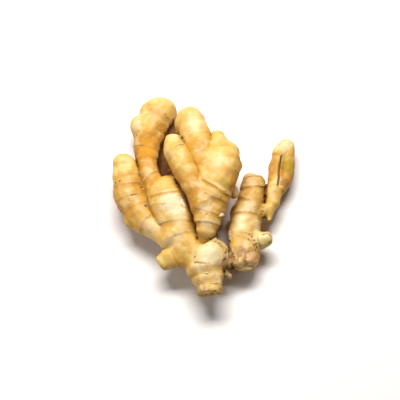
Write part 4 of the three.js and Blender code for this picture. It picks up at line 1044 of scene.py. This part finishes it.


# The skin's colours are linear light. Its coats are (colour, where the mask starts, where it is full, how
# strongly it covers there), and its patterns are by place on the hand or flow along each finger. The side,
# hollow, groove and crease coats are painted shade.
skinLook = dict(
    plain=(0.62, 0.36, 0.062, 1), cream=(0.76, 0.615, 0.33, 1), gold=(0.46, 0.205, 0.012, 1),
    warm=(0.53, 0.255, 0.035, 1), blush=(0.58, 0.29, 0.085, 1), young=(0.63, 0.48, 0.14, 1),
    sideShade=(0.92, 0.77, 0.34, 1), hollowShade=(0.44, 0.20, 0.024, 1), creaseShade=(0.10, 0.035, 0.008, 1),
    ringLine=(0.20, 0.09, 0.03, 1), ringShade=(0.46, 0.215, 0.022, 1), ringLip=(0.72, 0.56, 0.29, 1),
    scarPit=(0.10, 0.05, 0.02, 1), scarRim=(0.46, 0.31, 0.15, 1),
    tornPale=(0.62, 0.40, 0.17, 1), tornDark=(0.34, 0.17, 0.06, 1),
    coats=dict(
        cream=("cream", 0.0, 1.1, 1), gold=("gold", 0.1, -1.1, 1), mottle=("warm", 0.5, 0.75, 0.22),
        band=("warm", 0.5, 0.72, 0.25), streak=("cream", 0.52, 0.7, 0.12),
        paleCloud=("cream", 0.5, 0.7, 0.42), blushCloud=("blush", 0.48, 0.32, 0.5),
        young=("young", 16.0, 3.0, 0.45),
        side=("sideShade", 0.97, 0.2, 0.9), hollowShade=("hollowShade", 0.3, 0.95, 0.65),
        scarRim=("scarRim", 1.9, 1.2, 0.5), scarPit=("scarPit", 1.05, 0.6, 0.8),
        tornPale=("tornPale", 0.34, 0.6, 1), groove=("creaseShade", 1.3, 0.5, 1),
        creaseShade=("creaseShade", 0.22, 0.8, 1)),
    noise=dict(
        blotch=dict(scale=75.0, detail=2), mottle=dict(scale=300.0, detail=4, roughness=0.6),
        cloud=dict(scale=130.0, detail=2, roughness=0.5), wander=dict(scale=200.0),
        breaks=dict(scale=160.0),
        fibre=dict(scale=500.0, detail=4, roughness=0.65, stretch=(1, 0.35, 1))),
    flowNoise=dict(
        streak=dict(scale=0.8, stretch=(1, 1, 0.12)),
        band=dict(scale=0.5, detail=2, stretch=(0.12, 0.12, 1)),
        fine=dict(scale=2.2, detail=4, roughness=0.6, stretch=(1, 1, 0.22)),
        wrinkle=dict(scale=1.3, stretch=(0.2, 0.2, 1))),
    toneWander=2.6, ringWander=1.5, scarWander=0.3, ringDepths=(0.05, 0.9),
    ringBands=(  # colour, share, far side of the band and near side, in millimetres past the ring's line
        ("ringShade", 0.95, (-4.6, -0.4), (0.3, -0.1)), ("ringLip", 0.25, (3.2, 0.4), (0.1, 0.4))),
    lineStrength=0.7, lineWidth=(0.38, 0.08), lineBreaks=(0.42, 0.62, 0.1, 1),
    tornShare=0.8, markMottle=0.5, markShownEdge=(0.05, 0.5),
    relief=dict(fine=0.5, wrinkle=0.6, mottle=0.35, line=-0.8, torn=2.5), bump=0.3, bumpHeight=0.0006,
    roughness=0.46, mottledRoughness=(0.35, 0.7, -0.06, 0.1), tornRoughness=0.3,
    specular=0.36, dullSpecular=0.02, dullHollow=(0.1, 0.7), dullest=0.8,
    subsurface=0.15, subsurfaceRadius=(1.0, 0.45, 0.16), subsurfaceScale=0.002)


def skinMaterial():
    look = skinLook
    material = bpy.data.materials.new("gingerSkin")
    material.use_nodes = True
    tree = material.node_tree
    shader = tree.nodes["Principled BSDF"]
    spot = addNode(tree, "ShaderNodeTexCoord").outputs["Object"]
    flow = readAttribute(tree, "flow", vector=True)
    ring, ringDepth, tone, fromTip, torn, scar, creaseShade, hollowShade, groove, up, stainAndPaintedLightAmount = (
        readAttribute(tree, name) for name in ("ring", "ringDepth", "tone", "fromTip", "torn", "scar",
                                               "creaseShade", "hollowShade", "groove", "up", "stainAndPaintedLightAmount"))
    noise = {name: noiseAt(tree, spot, **form) for name, form in look["noise"].items()}
    noise |= {name: noiseAt(tree, flow, **form) for name, form in look["flowNoise"].items()}

    # broad tones: cream or golden by the place along the finger, moved about by soft blotches
    wave = product(tree, calc(tree, "SUBTRACT", noise["blotch"], 0.5), look["toneWander"])
    mood = calc(tree, "ADD", tone, wave)
    colour = look["plain"]
    for name, mask in (("cream", mood), ("gold", mood), ("mottle", noise["mottle"]),
                       ("band", noise["band"]), ("streak", noise["streak"]),
                       ("paleCloud", noise["cloud"]), ("blushCloud", noise["cloud"]), ("young", fromTip)):
        colour = coat(tree, look, name, mask, colour)
    # painted shade: the flanks and undersides darker and warmer than the tops, by how far the skin faces up
    colour = coat(tree, look, "side", up, colour, mode="MULTIPLY")
    # painted shade in the hollows between fingers
    colour = coat(tree, look, "hollowShade", hollowShade, colour)

    # the rings: a shade before the line, a paler lip past it, and a thin broken line
    wander = product(tree, calc(tree, "SUBTRACT", noise["wander"], 0.5), look["ringWander"])
    fromLine = calc(tree, "ADD", ring, wander)
    strength = remap(tree, ringDepth, *look["ringDepths"])
    for tint, share, farSide, nearSide in look["ringBands"]:
        band = product(tree, remap(tree, fromLine, *farSide), remap(tree, fromLine, *nearSide),
                       strength, share)
        colour = blendColour(tree, band, colour, look[tint])
    thin = remap(tree, calc(tree, "ABSOLUTE", fromLine), *look["lineWidth"])
    line = product(tree, thin, remap(tree, noise["breaks"], *look["lineBreaks"]), strength)
    colour = blendColour(tree, product(tree, line, look["lineStrength"]), colour, look["ringLine"])

    # scars, torn flesh, marks with painted highlights and shade, and painted shade in grooves and creases
    colour = coat(tree, look, "scarRim", scar, colour)
    fromPit = calc(tree, "ADD", scar, product(tree, wander, look["scarWander"]))
    colour = coat(tree, look, "scarPit", fromPit, colour)
    flesh = coat(tree, look, "tornPale", noise["fibre"], look["tornDark"])
    colour = blendColour(tree, product(tree, torn, look["tornShare"]), colour, flesh)
    mottled = product(tree, calc(tree, "SUBTRACT", noise["mottle"], 0.5), look["markMottle"])
    stainAndPaintedLightShown = remap(tree, calc(tree, "ADD", stainAndPaintedLightAmount, mottled), *look["markShownEdge"])
    stainAndPaintedLightShown = product(tree, stainAndPaintedLightShown, stainAndPaintedLightAmount)
    colour = blendColour(tree, stainAndPaintedLightShown, colour, readAttribute(tree, "stainAndPaintedLight", vector=True))
    colour = coat(tree, look, "groove", groove, colour)
    colour = coat(tree, look, "creaseShade", creaseShade, colour)
    plug(tree, shader.inputs["Base Color"], colour)

    height = 0.0
    reliefs = noise | dict(line=line, torn=product(tree, torn, noise["fibre"]))
    for name, share in look["relief"].items():
        height = calc(tree, "ADD", height, product(tree, reliefs[name], share))
    bump = addNode(tree, "ShaderNodeBump", {"Height": height, "Strength": look["bump"],
                                            "Distance": look["bumpHeight"]})
    plug(tree, shader.inputs["Normal"], bump.outputs["Normal"])
    rough = calc(tree, "ADD", remap(tree, noise["mottle"], *look["mottledRoughness"]), look["roughness"])
    rough = calc(tree, "ADD", rough, product(tree, torn, look["tornRoughness"]), clamp=True)
    plug(tree, shader.inputs["Roughness"], rough)
    dull = calc(tree, "MAXIMUM", stainAndPaintedLightShown, creaseShade)
    dull = calc(tree, "MAXIMUM", remap(tree, hollowShade, *look["dullHollow"]), dull)
    shine = remap(tree, dull, 0, look["dullest"], look["specular"], look["dullSpecular"])
    plug(tree, shader.inputs["Specular IOR Level"], shine)
    shader.inputs["Subsurface Weight"].default_value = look["subsurface"]
    shader.inputs["Subsurface Radius"].default_value = look["subsurfaceRadius"]
    shader.inputs["Subsurface Scale"].default_value = look["subsurfaceScale"]
    return material


flapLook = dict(
    dry=(0.50, 0.31, 0.11, 1), pale=(0.60, 0.42, 0.17, 1), foot=(0.52, 0.28, 0.06, 1),
    rim=(0.30, 0.15, 0.05, 1),
    coats=dict(pale=("pale", 0.4, 0.6, 1), fibre=("rim", 0.5, 0.7, 0.4), foot=("foot", 0.35, 0.0, 0.9),
               edge=("rim", 0.86, 1.0, 0.55)),
    fibre=dict(scale=2.4, stretch=(1, 0.12, 0)), patch=dict(scale=300.0, detail=2),
    roughness=0.65, specular=0.25, bump=0.3, bumpHeight=0.0004)


def flapMaterial():
    look = flapLook
    material = bpy.data.materials.new("dryFlaps")
    material.use_nodes = True
    tree = material.node_tree
    shader = tree.nodes["Principled BSDF"]
    spot = addNode(tree, "ShaderNodeTexCoord").outputs["Object"]
    flow = readAttribute(tree, "flow", vector=True)
    out = addNode(tree, "ShaderNodeSeparateXYZ", {0: flow}).outputs["Z"]
    fibre = noiseAt(tree, flow, **look["fibre"])
    patch = noiseAt(tree, spot, **look["patch"])
    colour = look["dry"]
    for name, mask in (("pale", patch), ("fibre", fibre), ("foot", out), ("edge", out)):
        colour = coat(tree, look, name, mask, colour)
    plug(tree, shader.inputs["Base Color"], colour)
    bump = addNode(tree, "ShaderNodeBump", {"Height": fibre, "Strength": look["bump"],
                                            "Distance": look["bumpHeight"]})
    plug(tree, shader.inputs["Normal"], bump.outputs["Normal"])
    shader.inputs["Roughness"].default_value = look["roughness"]
    shader.inputs["Specular IOR Level"].default_value = look["specular"]
    return material


body = gingerBody()
body.data.materials.clear()
body.data.materials.append(skinMaterial())
print("body", len(body.data.polygons), "faces")
dryFlaps = gingerFlaps(body)
dryFlaps.data.materials.append(flapMaterial())
print("flaps", len(dryFlaps.data.polygons), "faces")

# The studio: a pale floor, one broad soft light above and behind, a weak one at the front left, and a dim
# even fill.
studio = dict(
    aim=(-0.00315, -0.0059, 0.018), elevation=70.0, distance=0.7778, lens=100.0, sensor=36.0,
    key=dict(place=(-0.05, 0.43, 0.73), size=(0.7, 0.24), power=13.0),
    second=dict(place=(-0.46, -0.46, 0.56), size=(0.5, 0.5), power=1.7), fill=0.08,
    floorColour=(0.83, 0.79, 0.76, 1), floorRoughness=0.8, floorWidth=4.0)


def studioCamera():
    data = bpy.data.cameras.new("camera")
    data.lens = studio["lens"]
    data.sensor_width = studio["sensor"]
    camera = bpy.data.objects.new("camera", data)
    bpy.context.collection.objects.link(camera)
    turn = math.radians(studio["elevation"])
    back = Vector((0, -math.cos(turn), math.sin(turn)))
    camera.location = Vector(studio["aim"]) + studio["distance"] * back
    camera.rotation_euler = (-back).to_track_quat("-Z", "Y").to_euler()
    bpy.context.scene.camera = camera


def studioLamp(name):
    lamp = studio[name]
    data = bpy.data.lights.new(name, "AREA")
    data.shape = "RECTANGLE"
    data.size, data.size_y = lamp["size"]
    data.energy = lamp["power"]
    light = bpy.data.objects.new(name, data)
    bpy.context.collection.objects.link(light)
    light.location = lamp["place"]
    light.rotation_euler = (Vector(studio["aim"]) - light.location).to_track_quat("-Z", "Y").to_euler()


def studioFill():
    world = bpy.data.worlds.new("fill")
    bpy.context.scene.world = world
    world.use_nodes = True
    background = world.node_tree.nodes["Background"]
    background.inputs["Color"].default_value = (1, 1, 1, 1)
    background.inputs["Strength"].default_value = studio["fill"]


def studioFloor():
    half = studio["floorWidth"] / 2
    data = bpy.data.meshes.new("floor")
    corners = [(-half, -half, 0), (half, -half, 0), (half, half, 0), (-half, half, 0)]
    data.from_pydata(corners, [], [(0, 1, 2, 3)])
    floor = bpy.data.objects.new("floor", data)
    bpy.context.collection.objects.link(floor)
    material = bpy.data.materials.new("floorPaper")
    material.use_nodes = True
    shader = material.node_tree.nodes["Principled BSDF"]
    shader.inputs["Base Color"].default_value = studio["floorColour"]
    shader.inputs["Roughness"].default_value = studio["floorRoughness"]
    data.materials.append(material)


studioCamera()
studioLamp("key")
studioLamp("second")
studioFill()
studioFloor()
bpy.context.scene.view_settings.view_transform = "Standard"
